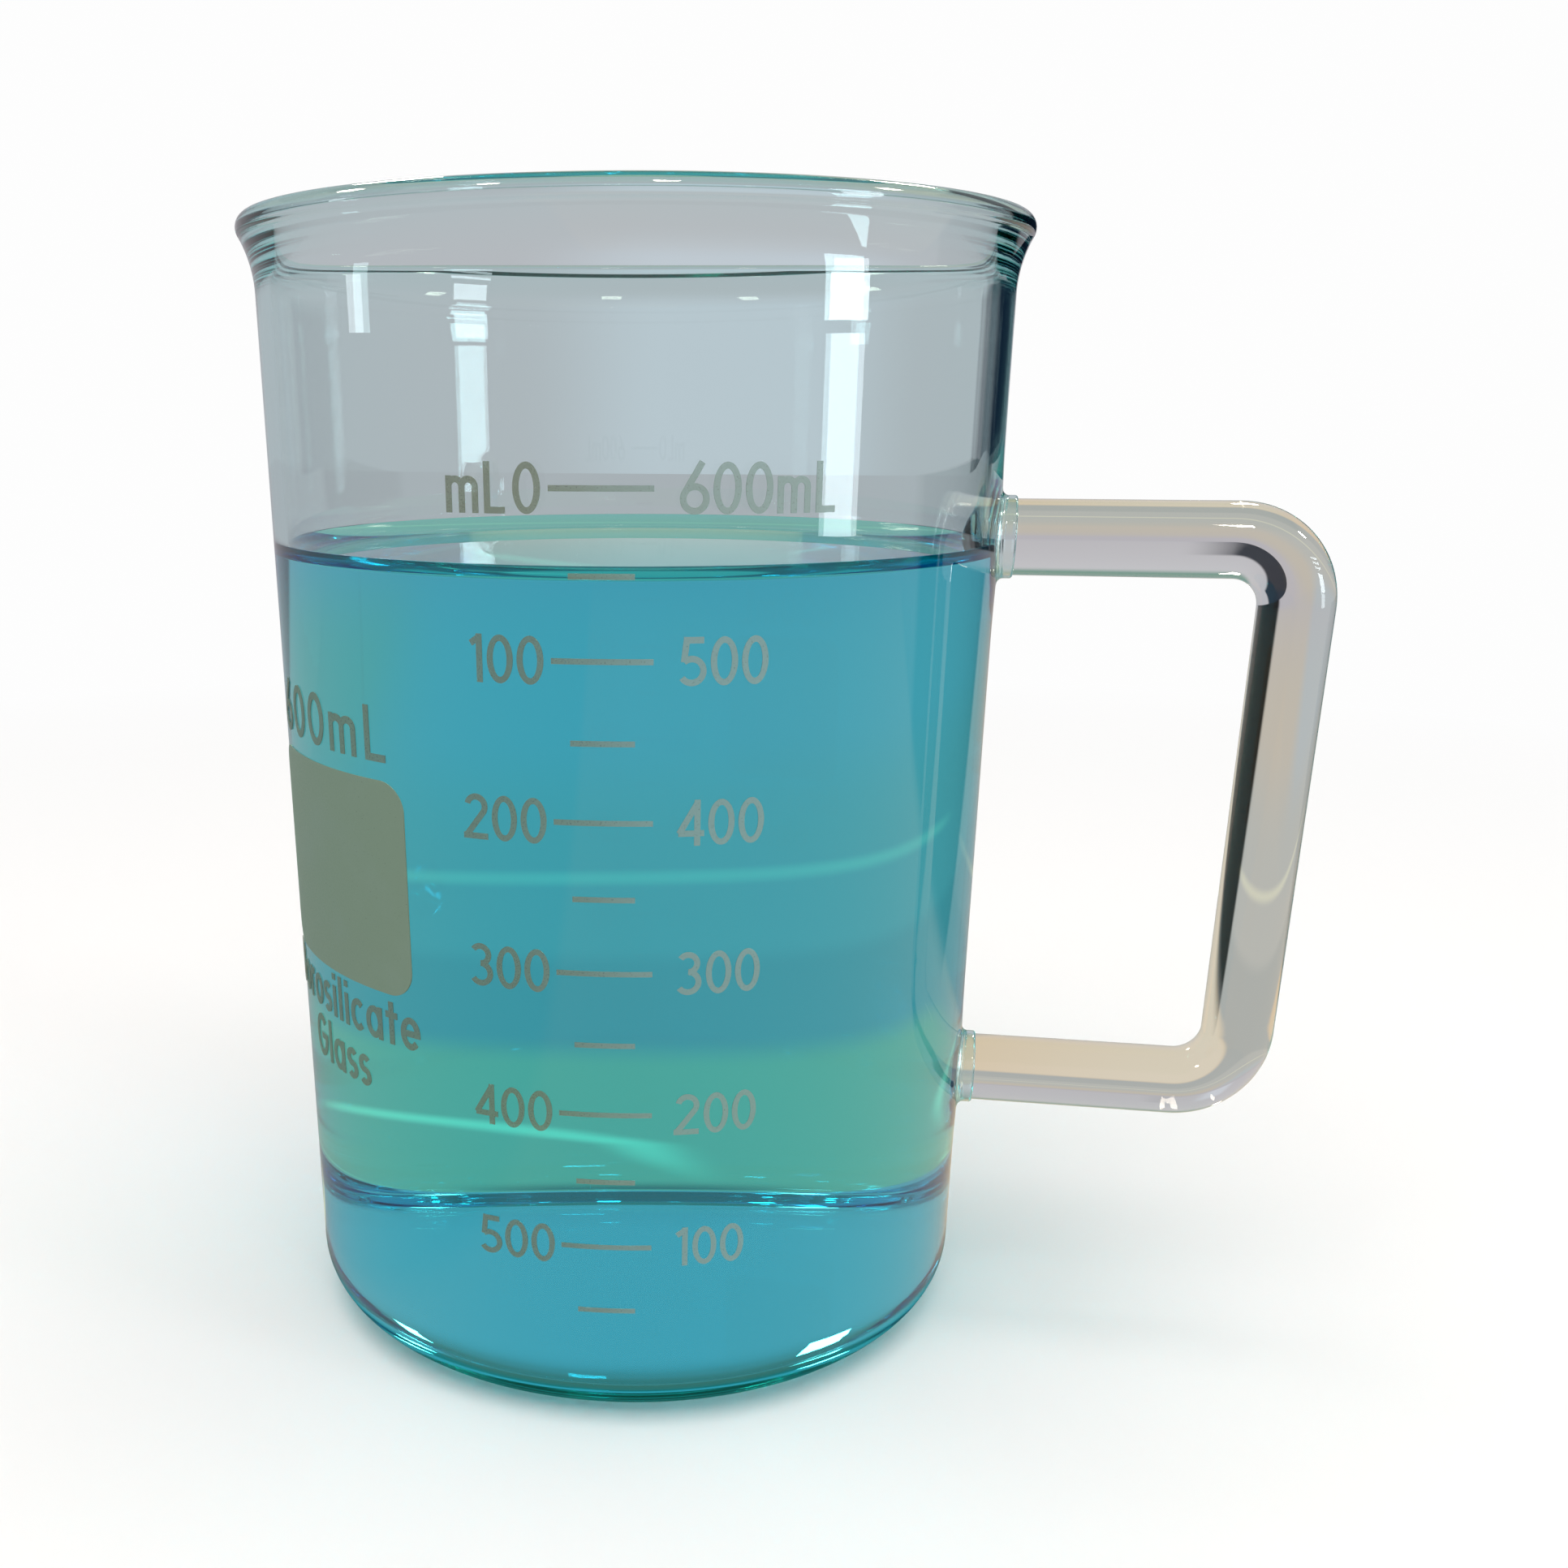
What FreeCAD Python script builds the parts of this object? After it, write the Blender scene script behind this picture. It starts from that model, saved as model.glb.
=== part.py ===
import FreeCAD, Part

import math
import os

import Sketcher

# A 600 mL heat-proof glass beaker with a fused rod handle, part filled with a blue liquid.
#
# Frame: millimetres, +Z up, origin on the axis of the cup in the plane that it stands on,
# handle along +X. The printed scale faces -Y.

V = FreeCAD.Vector
X_AXIS, Y_AXIS, Z_AXIS = V(1, 0, 0), V(0, 1, 0), V(0, 0, 1)

# Every driving dimension, in millimetres unless its note says otherwise.
DIMENSIONS = [
    ("outer_dia", 90.0, "outside diameter of the straight wall"),
    ("wall_thick", 1.7, "glass thickness of the wall"),
    ("overall_height", 137.9, "height from the bench to the top of the rim"),
    ("floor_thick", 3.0, "glass thickness of the floor"),
    ("heel_radius", 7.5, "outside radius between wall and floor"),
    ("inner_heel_radius", 6.5, "inside radius between wall and floor"),
    ("rim_overhang", 1.7, "how far the rim stands out past the wall"),
    ("mouth_step", 0.4, "how far the mouth opens out past the bore"),
    ("flare_radius", 13.0, "radius of the outside curve below the rim"),
    ("mouth_radius", 30.0, "radius of the inside curve below the rim"),
    ("handle_dia", 9.0, "diameter of the handle's glass rod"),
    ("handle_reach", 35.6, "from the wall to the middle of the upright rod"),
    ("handle_bend", 7.8, "centre-line radius of the handle's two bends"),
    ("upper_arm_drop", 35.4, "from the top of the rim down to the upper arm's centre line"),
    ("lower_arm_height", 32.6, "height of the lower arm's centre line"),
    ("collar_length", 1.2, "length of a weld collar along the arm"),
    ("collar_step", 0.4, "how far a weld collar stands proud of the rod"),
    ("weld_fillet", 0.8, "fillet radius between a weld collar and the wall"),
    ("dome_depth", 2.6, "how far the wall bulges inward behind each weld"),
    ("liquid_level", 100.4, "height of the flat liquid surface"),
    ("meniscus_rise", 1.8, "how far the liquid climbs at the wall"),
    ("meniscus_reach", 3.6, "width of the curved edge of the surface"),
    ("print_thick", 0.12, "thickness of the printed enamel"),
    ("line_width", 0.6, "width of a graduation line"),
    ("major_line", 10.6, "length of a numbered graduation line"),
    ("minor_line", 6.8, "length of a half-way graduation line"),
    ("scale_zero", 7.9, "height at which the scale would read zero"),
    ("freeboard", 14.0, "least height between the top mark and the rim's curve"),
    ("scale_turn", 5.8, "degrees that the scale is turned from -Y towards the handle"),
    ("digit_height", 5.0, "height of the scale's numerals"),
    ("digit_stroke", 0.66, "stroke width of the scale's numerals"),
    ("rising_gap", 2.6, "from the line's end to the rising numerals"),
    ("falling_gap", 0.8, "from the line's end to the falling numerals"),
    ("label_turn", -45.1, "degrees from -Y to the middle of the label"),
    ("spot_width", 31.4, "width of the marking spot"),
    ("spot_height", 25.5, "height of the marking spot"),
    ("spot_corner", 3.4, "corner radius of the marking spot"),
    ("spot_bottom", 52.7, "height of the marking spot's lower edge"),
    ("capacity_height", 6.2, "height of the capacity mark's figures"),
    ("capacity_stroke", 0.85, "stroke width of the capacity mark"),
    ("capacity_gap", 2.1, "from the marking spot up to the capacity mark"),
    ("material_height", 5.7, "capital height of the material mark"),
    ("material_stroke", 0.8, "stroke width of the material mark"),
    ("material_gap", 0.6, "from the marking spot down to the material mark"),
    ("material_leading", 7.0, "from one line of the material mark to the next"),
]

STEP_ML = 100          # volume between two numbered marks, in millilitres
ML = 1000.0            # cubic millimetres in a millilitre
X_HEIGHT = 0.72        # height of small letters, as a share of the capitals
LETTER_GAP = 0.085     # space between two characters, as a share of the capitals
WIDE_LETTERS = 1.22    # how much wider than usual the capacity mark's letters are
WIDE_GAP = 0.19        # space between two characters of the capacity mark


# ---------------------------------------------------------------- document and sheet

doc = FreeCAD.newDocument("beaker")
sheet = doc.addObject("Spreadsheet::Sheet", "Sizes")
for row, (alias, value, note) in enumerate(DIMENSIONS, start=1):
    sheet.set("A%d" % row, alias)
    sheet.set("B%d" % row, repr(value))
    sheet.set("C%d" % row, note)
    sheet.setAlias("B%d" % row, alias)
doc.recompute()

SIZE = {alias: float(sheet.get(alias)) for alias, _, _ in DIMENSIONS}


def cell(formula):
    """Write a formula of sheet aliases as FreeCAD's expression engine wants it."""
    words = []
    for word in formula.split():
        words.append("Sizes." + word if word in SIZE else word)
    return " ".join(words)


def bind(thing, path, formula):
    thing.setExpression(path, cell(formula))


# ---------------------------------------------------------------- sketches in a body

def origin_plane(body, role):
    for feature in body.Origin.OriginFeatures:
        if feature.Role == role:
            return feature
    raise ValueError("no plane " + role)


def new_sketch(body, name, role, right="0", up="0", out="0"):
    """A sketch on one of the body's own planes, moved by three formulas."""
    sketch = body.newObject("Sketcher::SketchObject", name)
    sketch.AttachmentSupport = [(origin_plane(body, role), "")]
    sketch.MapMode = "FlatFace"
    for axis, formula in zip("xyz", (right, up, out)):
        if formula != "0":
            bind(sketch, ".AttachmentOffset.Base." + axis, formula)
    return sketch


def line(x1, y1, x2, y2):
    return Part.LineSegment(V(x1, y1, 0), V(x2, y2, 0))


def arc(cx, cy, radius, start_deg, end_deg):
    circle = Part.Circle(V(cx, cy, 0), Z_AXIS, radius)
    return Part.ArcOfCircle(circle, math.radians(start_deg), math.radians(end_deg))


def draw(sketch, geometry, joints, straight, sizes):
    """Fill a sketch: joints are (kind, curve, end, curve, end), sizes are bound formulas."""
    sketch.addGeometry(geometry, False)
    for kind, first, end_a, second, end_b in joints:
        sketch.addConstraint(Sketcher.Constraint(kind, first, end_a, second, end_b))
    for kind, curve in straight:
        sketch.addConstraint(Sketcher.Constraint(kind, curve))
    for name, kind, target, formula, number in sizes:
        if kind == "Radius":
            constraint = Sketcher.Constraint(kind, target, number)
        else:
            constraint = Sketcher.Constraint(kind, -1, 1, target[0], target[1], number)
        index = sketch.addConstraint(constraint)
        sketch.renameConstraint(index, name)
        bind(sketch, "Constraints." + name, formula)


def revolve(body, kind, name, sketch, axis):
    feature = body.newObject("PartDesign::" + kind, name)
    feature.Profile = sketch
    feature.ReferenceAxis = (sketch, [axis])
    feature.Angle = 360.0
    sketch.Visibility = False
    body.Tip = feature
    return feature


def new_body(label):
    body = doc.addObject("PartDesign::Body", label)
    body.Label = label
    return body


START, END, CENTRE = 1, 2, 3


# ---------------------------------------------------------------- derived sizes

outer_r = SIZE["outer_dia"] / 2.0
inner_r = outer_r - SIZE["wall_thick"]
bead_r = (SIZE["wall_thick"] + SIZE["rim_overhang"] - SIZE["mouth_step"]) / 2.0
bead_x = outer_r + SIZE["rim_overhang"] - bead_r
bead_z = SIZE["overall_height"] - bead_r
# The outside curve touches the wall's line and, from outside, the rim's circle.
flare_sum = SIZE["flare_radius"] + bead_r
flare_x = outer_r + SIZE["flare_radius"]
flare_z = bead_z - math.sqrt(flare_sum**2 - (flare_sum - SIZE["rim_overhang"])**2)
# The inside curve touches the bore's line and holds the rim's circle inside it.
mouth_gap = SIZE["mouth_radius"] - bead_r
mouth_x = inner_r + SIZE["mouth_radius"]
mouth_z = bead_z - math.sqrt(mouth_gap**2 - (mouth_gap - SIZE["mouth_step"])**2)

high_arm = SIZE["overall_height"] - SIZE["upper_arm_drop"]
low_arm = SIZE["lower_arm_height"]

INNER = "outer_dia / 2 - wall_thick"
HIGH_ARM = "overall_height - upper_arm_drop"
LOW_ARM = "lower_arm_height"
BEAD = "( wall_thick + rim_overhang - mouth_step ) / 2"


# ---------------------------------------------------------------- glass cup

def dome(body, kind, name, arm_height):
    """A round glass bulge on the inside of the wall, behind a weld: added or cut away.

    It is a cap of a sphere about the arm's axis, as wide as the rod where it leaves the
    middle of the wall.
    """
    root = inner_r + SIZE["wall_thick"] / 2.0
    half = SIZE["handle_dia"] / 2.0
    sag = SIZE["dome_depth"] + SIZE["wall_thick"] / 2.0
    radius = (half**2 + sag**2) / (2.0 * sag)
    centre = root - sag + radius
    edge_deg = math.degrees(math.atan2(half, root - centre))
    sketch = new_sketch(body, name + "_profile", "XZ_Plane", up=arm_height)
    draw(
        sketch,
        [line(root, 0, root, half), arc(centre, 0, radius, edge_deg, 180.0),
         line(root - sag, 0, root, 0)],
        [("Coincident", 0, END, 1, START), ("Coincident", 1, END, 2, START),
         ("Coincident", 2, END, 0, START)],
        [("Vertical", 0), ("Horizontal", 2)],
        [("root_x", "DistanceX", (0, START), INNER + " + wall_thick / 2", root),
         ("tip_x", "DistanceX", (2, START), INNER + " - dome_depth", root - sag),
         ("half", "DistanceY", (0, END), "handle_dia / 2", half)],
    )
    sketch.addConstraint(Sketcher.Constraint("PointOnObject", 2, START, -1))
    sketch.addConstraint(Sketcher.Constraint("PointOnObject", 1, CENTRE, -1))
    return revolve(body, kind, name, sketch, "H_Axis")


def make_beaker_body():
    """Floor, heel, straight wall, flared rim with a round bead, and the two weld domes."""
    body = new_body("beaker_body")
    sketch = new_sketch(body, "cup_profile", "XZ_Plane")
    heel, inner_heel = SIZE["heel_radius"], SIZE["inner_heel_radius"]
    floor = SIZE["floor_thick"]
    to_flare = math.degrees(math.atan2(flare_z - bead_z, flare_x - bead_x))
    to_mouth = math.degrees(math.atan2(bead_z - mouth_z, bead_x - mouth_x))
    draw(
        sketch,
        [line(0, 0, outer_r - heel, 0),
         arc(outer_r - heel, heel, heel, 270, 360),
         line(outer_r, heel, outer_r, flare_z),
         arc(flare_x, flare_z, SIZE["flare_radius"], 180 + to_flare, 180),
         arc(bead_x, bead_z, bead_r, to_flare, to_mouth),
         arc(mouth_x, mouth_z, SIZE["mouth_radius"], to_mouth, 180),
         line(inner_r, mouth_z, inner_r, floor + inner_heel),
         arc(inner_r - inner_heel, floor + inner_heel, inner_heel, 270, 360),
         line(inner_r - inner_heel, floor, 0, floor),
         line(0, floor, 0, 0)],
        [("Tangent", 0, END, 1, START), ("Tangent", 1, END, 2, START),
         ("Tangent", 2, END, 3, END), ("Tangent", 3, START, 4, START),
         ("Tangent", 4, END, 5, START), ("Tangent", 5, END, 6, START),
         ("Tangent", 6, END, 7, END), ("Tangent", 7, START, 8, START),
         ("Coincident", 8, END, 9, START), ("Coincident", 9, END, 0, START),
         ("Coincident", 0, START, -1, 1)],
        [("Horizontal", 0), ("Vertical", 2), ("Vertical", 6), ("Horizontal", 8), ("Vertical", 9)],
        [("outer", "DistanceX", (2, START), "outer_dia / 2", outer_r),
         ("inner", "DistanceX", (6, START), INNER, inner_r),
         ("floor", "DistanceY", (8, END), "floor_thick", floor),
         ("bead_x", "DistanceX", (4, CENTRE), "outer_dia / 2 + rim_overhang - " + BEAD, bead_x),
         ("bead_z", "DistanceY", (4, CENTRE), "overall_height - " + BEAD, bead_z),
         ("heel", "Radius", 1, "heel_radius", heel),
         ("flare", "Radius", 3, "flare_radius", SIZE["flare_radius"]),
         ("bead", "Radius", 4, BEAD, bead_r),
         ("mouth", "Radius", 5, "mouth_radius", SIZE["mouth_radius"]),
         ("inner_heel", "Radius", 7, "inner_heel_radius", inner_heel)],
    )
    revolve(body, "Revolution", "cup", sketch, "V_Axis")
    dome(body, "Revolution", "upper_dome", HIGH_ARM)
    dome(body, "Revolution", "lower_dome", LOW_ARM)
    return body


# ---------------------------------------------------------------- liquid

def make_blue_liquid():
    """The liquid: the cup's own inside shape up to the surface, less the weld domes."""
    body = new_body("blue_liquid")
    sketch = new_sketch(body, "liquid_profile", "XZ_Plane")
    heel, floor, level = SIZE["inner_heel_radius"], SIZE["floor_thick"], SIZE["liquid_level"]
    rise, reach = SIZE["meniscus_rise"], SIZE["meniscus_reach"]
    curve = (rise**2 + reach**2) / (2.0 * rise)
    edge_deg = math.degrees(math.atan2(rise - curve, reach))
    draw(
        sketch,
        [line(0, floor, inner_r - heel, floor),
         arc(inner_r - heel, floor + heel, heel, 270, 360),
         line(inner_r, floor + heel, inner_r, level + rise),
         arc(inner_r - reach, level + curve, curve, 270, 360 + edge_deg),
         line(inner_r - reach, level, 0, level),
         line(0, level, 0, floor)],
        [("Tangent", 0, END, 1, START), ("Tangent", 1, END, 2, START),
         ("Coincident", 2, END, 3, END), ("Tangent", 3, START, 4, START),
         ("Coincident", 4, END, 5, START), ("Coincident", 5, END, 0, START)],
        [("Horizontal", 0), ("Vertical", 2), ("Horizontal", 4), ("Vertical", 5)],
        [("inner", "DistanceX", (2, START), INNER, inner_r),
         ("floor", "DistanceY", (0, START), "floor_thick", floor),
         ("level", "DistanceY", (4, END), "liquid_level", level),
         ("edge_z", "DistanceY", (2, END), "liquid_level + meniscus_rise", level + rise),
         ("edge_x", "DistanceX", (3, START), INNER + " - meniscus_reach", inner_r - reach),
         ("heel", "Radius", 1, "inner_heel_radius", heel)],
    )
    sketch.addConstraint(Sketcher.Constraint("PointOnObject", 0, START, -2))
    revolve(body, "Revolution", "liquid", sketch, "V_Axis")
    dome(body, "Groove", "upper_dome_space", HIGH_ARM)
    dome(body, "Groove", "lower_dome_space", LOW_ARM)
    return body


# ---------------------------------------------------------------- handle and welds

def trim_at_wall(body, name):
    """Cut away whatever lies inside the cup's outside cylinder."""
    sketch = new_sketch(body, name + "_circle", "XY_Plane")
    sketch.addGeometry([Part.Circle(V(0, 0, 0), Z_AXIS, outer_r)], False)
    sketch.addConstraint(Sketcher.Constraint("Coincident", 0, CENTRE, -1, 1))
    index = sketch.addConstraint(Sketcher.Constraint("Radius", 0, outer_r))
    sketch.renameConstraint(index, "wall")
    bind(sketch, "Constraints.wall", "outer_dia / 2")
    pocket = body.newObject("PartDesign::Pocket", name)
    pocket.Profile = sketch
    pocket.Type = "ThroughAll"
    pocket.Midplane = True
    sketch.Visibility = False
    body.Tip = pocket
    return pocket


def make_handle_rod():
    """One round glass rod: two level arms, two bends and the upright, welded to the wall."""
    body = new_body("handle_rod")
    root = outer_r - SIZE["wall_thick"] / 2.0
    upright = outer_r + SIZE["handle_reach"]
    high, low = high_arm, low_arm
    bend, rod_r = SIZE["handle_bend"], SIZE["handle_dia"] / 2.0
    path = new_sketch(body, "handle_path", "XZ_Plane")
    root_formula = "outer_dia / 2 - wall_thick / 2"
    draw(
        path,
        [line(root, high, upright - bend, high),
         arc(upright - bend, high - bend, bend, 0, 90),
         line(upright, high - bend, upright, low + bend),
         arc(upright - bend, low + bend, bend, 270, 360),
         line(upright - bend, low, root, low)],
        [("Tangent", 0, END, 1, END), ("Tangent", 1, START, 2, START),
         ("Tangent", 2, END, 3, END), ("Tangent", 3, START, 4, START)],
        [("Horizontal", 0), ("Vertical", 2), ("Horizontal", 4)],
        [("high_root", "DistanceX", (0, START), root_formula, root),
         ("low_root", "DistanceX", (4, END), root_formula, root),
         ("upright", "DistanceX", (2, START), "outer_dia / 2 + handle_reach", upright),
         ("high", "DistanceY", (0, START), HIGH_ARM, high),
         ("low", "DistanceY", (4, END), LOW_ARM, low),
         ("upper_bend", "Radius", 1, "handle_bend", bend),
         ("lower_bend", "Radius", 3, "handle_bend", bend)],
    )
    section = new_sketch(body, "rod_section", "YZ_Plane", up=HIGH_ARM, out=root_formula)
    section.addGeometry([Part.Circle(V(0, 0, 0), Z_AXIS, rod_r)], False)
    section.addConstraint(Sketcher.Constraint("Coincident", 0, CENTRE, -1, 1))
    index = section.addConstraint(Sketcher.Constraint("Radius", 0, rod_r))
    section.renameConstraint(index, "rod")
    bind(section, "Constraints.rod", "handle_dia / 2")
    doc.recompute()
    pipe = body.newObject("PartDesign::AdditivePipe", "rod")
    pipe.Profile = section
    pipe.Spine = (path, ["Edge%d" % number for number in range(1, 6)])
    path.Visibility = False
    section.Visibility = False
    body.Tip = pipe
    doc.recompute()
    trim_at_wall(body, "rod_trim")
    return body


def make_weld_collar(label, arm_height):
    """A ring of melted glass round the rod: a fillet rising from the wall and a round lip."""
    body = new_body(label)
    rod_r = SIZE["handle_dia"] / 2.0
    lip_r = rod_r + SIZE["collar_step"]
    fillet = SIZE["weld_fillet"]
    # The wall curves away from the arm, so the ring starts inside it and is trimmed.
    root = outer_r - SIZE["wall_thick"]
    foot = outer_r
    tip = outer_r + fillet + SIZE["collar_length"]
    lip = SIZE["collar_step"]
    sketch = new_sketch(body, label + "_profile", "XZ_Plane", up=arm_height)
    draw(
        sketch,
        [line(root, rod_r, root, lip_r + fillet),
         line(root, lip_r + fillet, foot, lip_r + fillet),
         arc(foot + fillet, lip_r + fillet, fillet, 180, 270),
         line(foot + fillet, lip_r, tip - lip, lip_r),
         arc(tip - lip, rod_r, lip, 0, 90),
         line(tip, rod_r, root, rod_r)],
        [("Coincident", 0, END, 1, START), ("Coincident", 1, END, 2, START),
         ("Horizontal", 2, CENTRE, 2, START),
         ("Tangent", 2, END, 3, START), ("Tangent", 3, END, 4, END),
         ("Coincident", 4, START, 5, START), ("Coincident", 5, END, 0, START)],
        [("Vertical", 0), ("Horizontal", 1), ("Horizontal", 3), ("Horizontal", 5)],
        [("root", "DistanceX", (0, START), "outer_dia / 2 - wall_thick", root),
         ("fillet_x", "DistanceX", (2, CENTRE), "outer_dia / 2 + weld_fillet", foot + fillet),
         ("fillet_z", "DistanceY", (2, CENTRE), "handle_dia / 2 + collar_step + weld_fillet",
          lip_r + fillet),
         ("bore", "DistanceY", (0, START), "handle_dia / 2", rod_r),
         ("lip_x", "DistanceX", (4, CENTRE),
          "outer_dia / 2 + weld_fillet + collar_length - collar_step", tip - lip),
         ("lip_z", "DistanceY", (4, CENTRE), "handle_dia / 2", rod_r),
         ("lip", "Radius", 4, "collar_step", lip)],
    )
    revolve(body, "Revolution", label + "_ring", sketch, "H_Axis")
    doc.recompute()
    trim_at_wall(body, label + "_trim")
    return body


# ---------------------------------------------------------------- printed lines

def make_print_shell():
    """The thin sleeve round the straight wall that all the enamel lies in."""
    outside = doc.addObject("Part::Cylinder", "print_outside")
    inside = doc.addObject("Part::Cylinder", "print_inside")
    bind(outside, "Radius", "outer_dia / 2 + print_thick")
    bind(inside, "Radius", "outer_dia / 2")
    for cylinder in (outside, inside):
        bind(cylinder, "Height", "overall_height")
    shell = doc.addObject("Part::Cut", "print_shell")
    shell.Base = outside
    shell.Tool = inside
    return shell


def front_block(name, width, height, level):
    """A block through the front of the sleeve, centred on -Y; width and height are formulas."""
    block = doc.addObject("Part::Box", name)
    bind(block, "Length", width)
    bind(block, "Width", "outer_dia / 4")
    bind(block, "Height", height)
    bind(block, "Placement.Base.x", "- ( " + width + " ) / 2")
    bind(block, "Placement.Base.y", "- outer_dia / 2 - print_thick * 2")
    bind(block, "Placement.Base.z", level)
    return block


def print_from(label, block, shell, turn_alias):
    """The part of a block that lies in the sleeve, turned to its place round the cup."""
    print_node = doc.addObject("Part::Common", label)
    print_node.Label = label
    print_node.Base = block
    print_node.Tool = shell
    print_node.Placement = FreeCAD.Placement(V(0, 0, 0), FreeCAD.Rotation(Z_AXIS, SIZE[turn_alias]))
    bind(print_node, "Placement.Rotation.Angle", turn_alias)
    return print_node


def make_lines(label, length_alias, marks, shell):
    """One graduation line at each volume in marks, in millilitres."""
    blocks = []
    for volume in marks:
        level = "scale_zero + %g * %s - line_width / 2" % (volume, MM_PER_ML)
        blocks.append(front_block("%s_%d" % (label, volume), length_alias, "line_width", level))
    fused = doc.addObject("Part::MultiFuse", label + "_blocks")
    fused.Shapes = blocks
    return print_from(label, fused, shell, "scale_turn")


def make_marking_spot(shell):
    """The blank rounded panel of enamel that takes pencil notes."""
    block = front_block("spot_block", "spot_width", "spot_height", "spot_bottom")
    doc.recompute()
    rounded = doc.addObject("Part::Fillet", "spot_rounded")
    rounded.Base = block
    corner = SIZE["spot_corner"]
    across = []
    for number, edge in enumerate(block.Shape.Edges, start=1):
        if abs(edge.tangentAt(edge.FirstParameter).y) > 0.9:
            across.append((number, corner, corner))
    rounded.Edges = across
    return print_from("marking_spot", rounded, shell, "label_turn")


# ---------------------------------------------------------------- lettering
#
# A plain one-stroke alphabet. Heights and widths are shares of the capital height. Each
# glyph is its width and its strokes: ("line", x1, y1, x2, y2) or
# ("arc", centre x, centre y, radius x, radius y, first degree, last degree), with both
# measured to the outside of the stroke and drawn inward by half its width.

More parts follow.
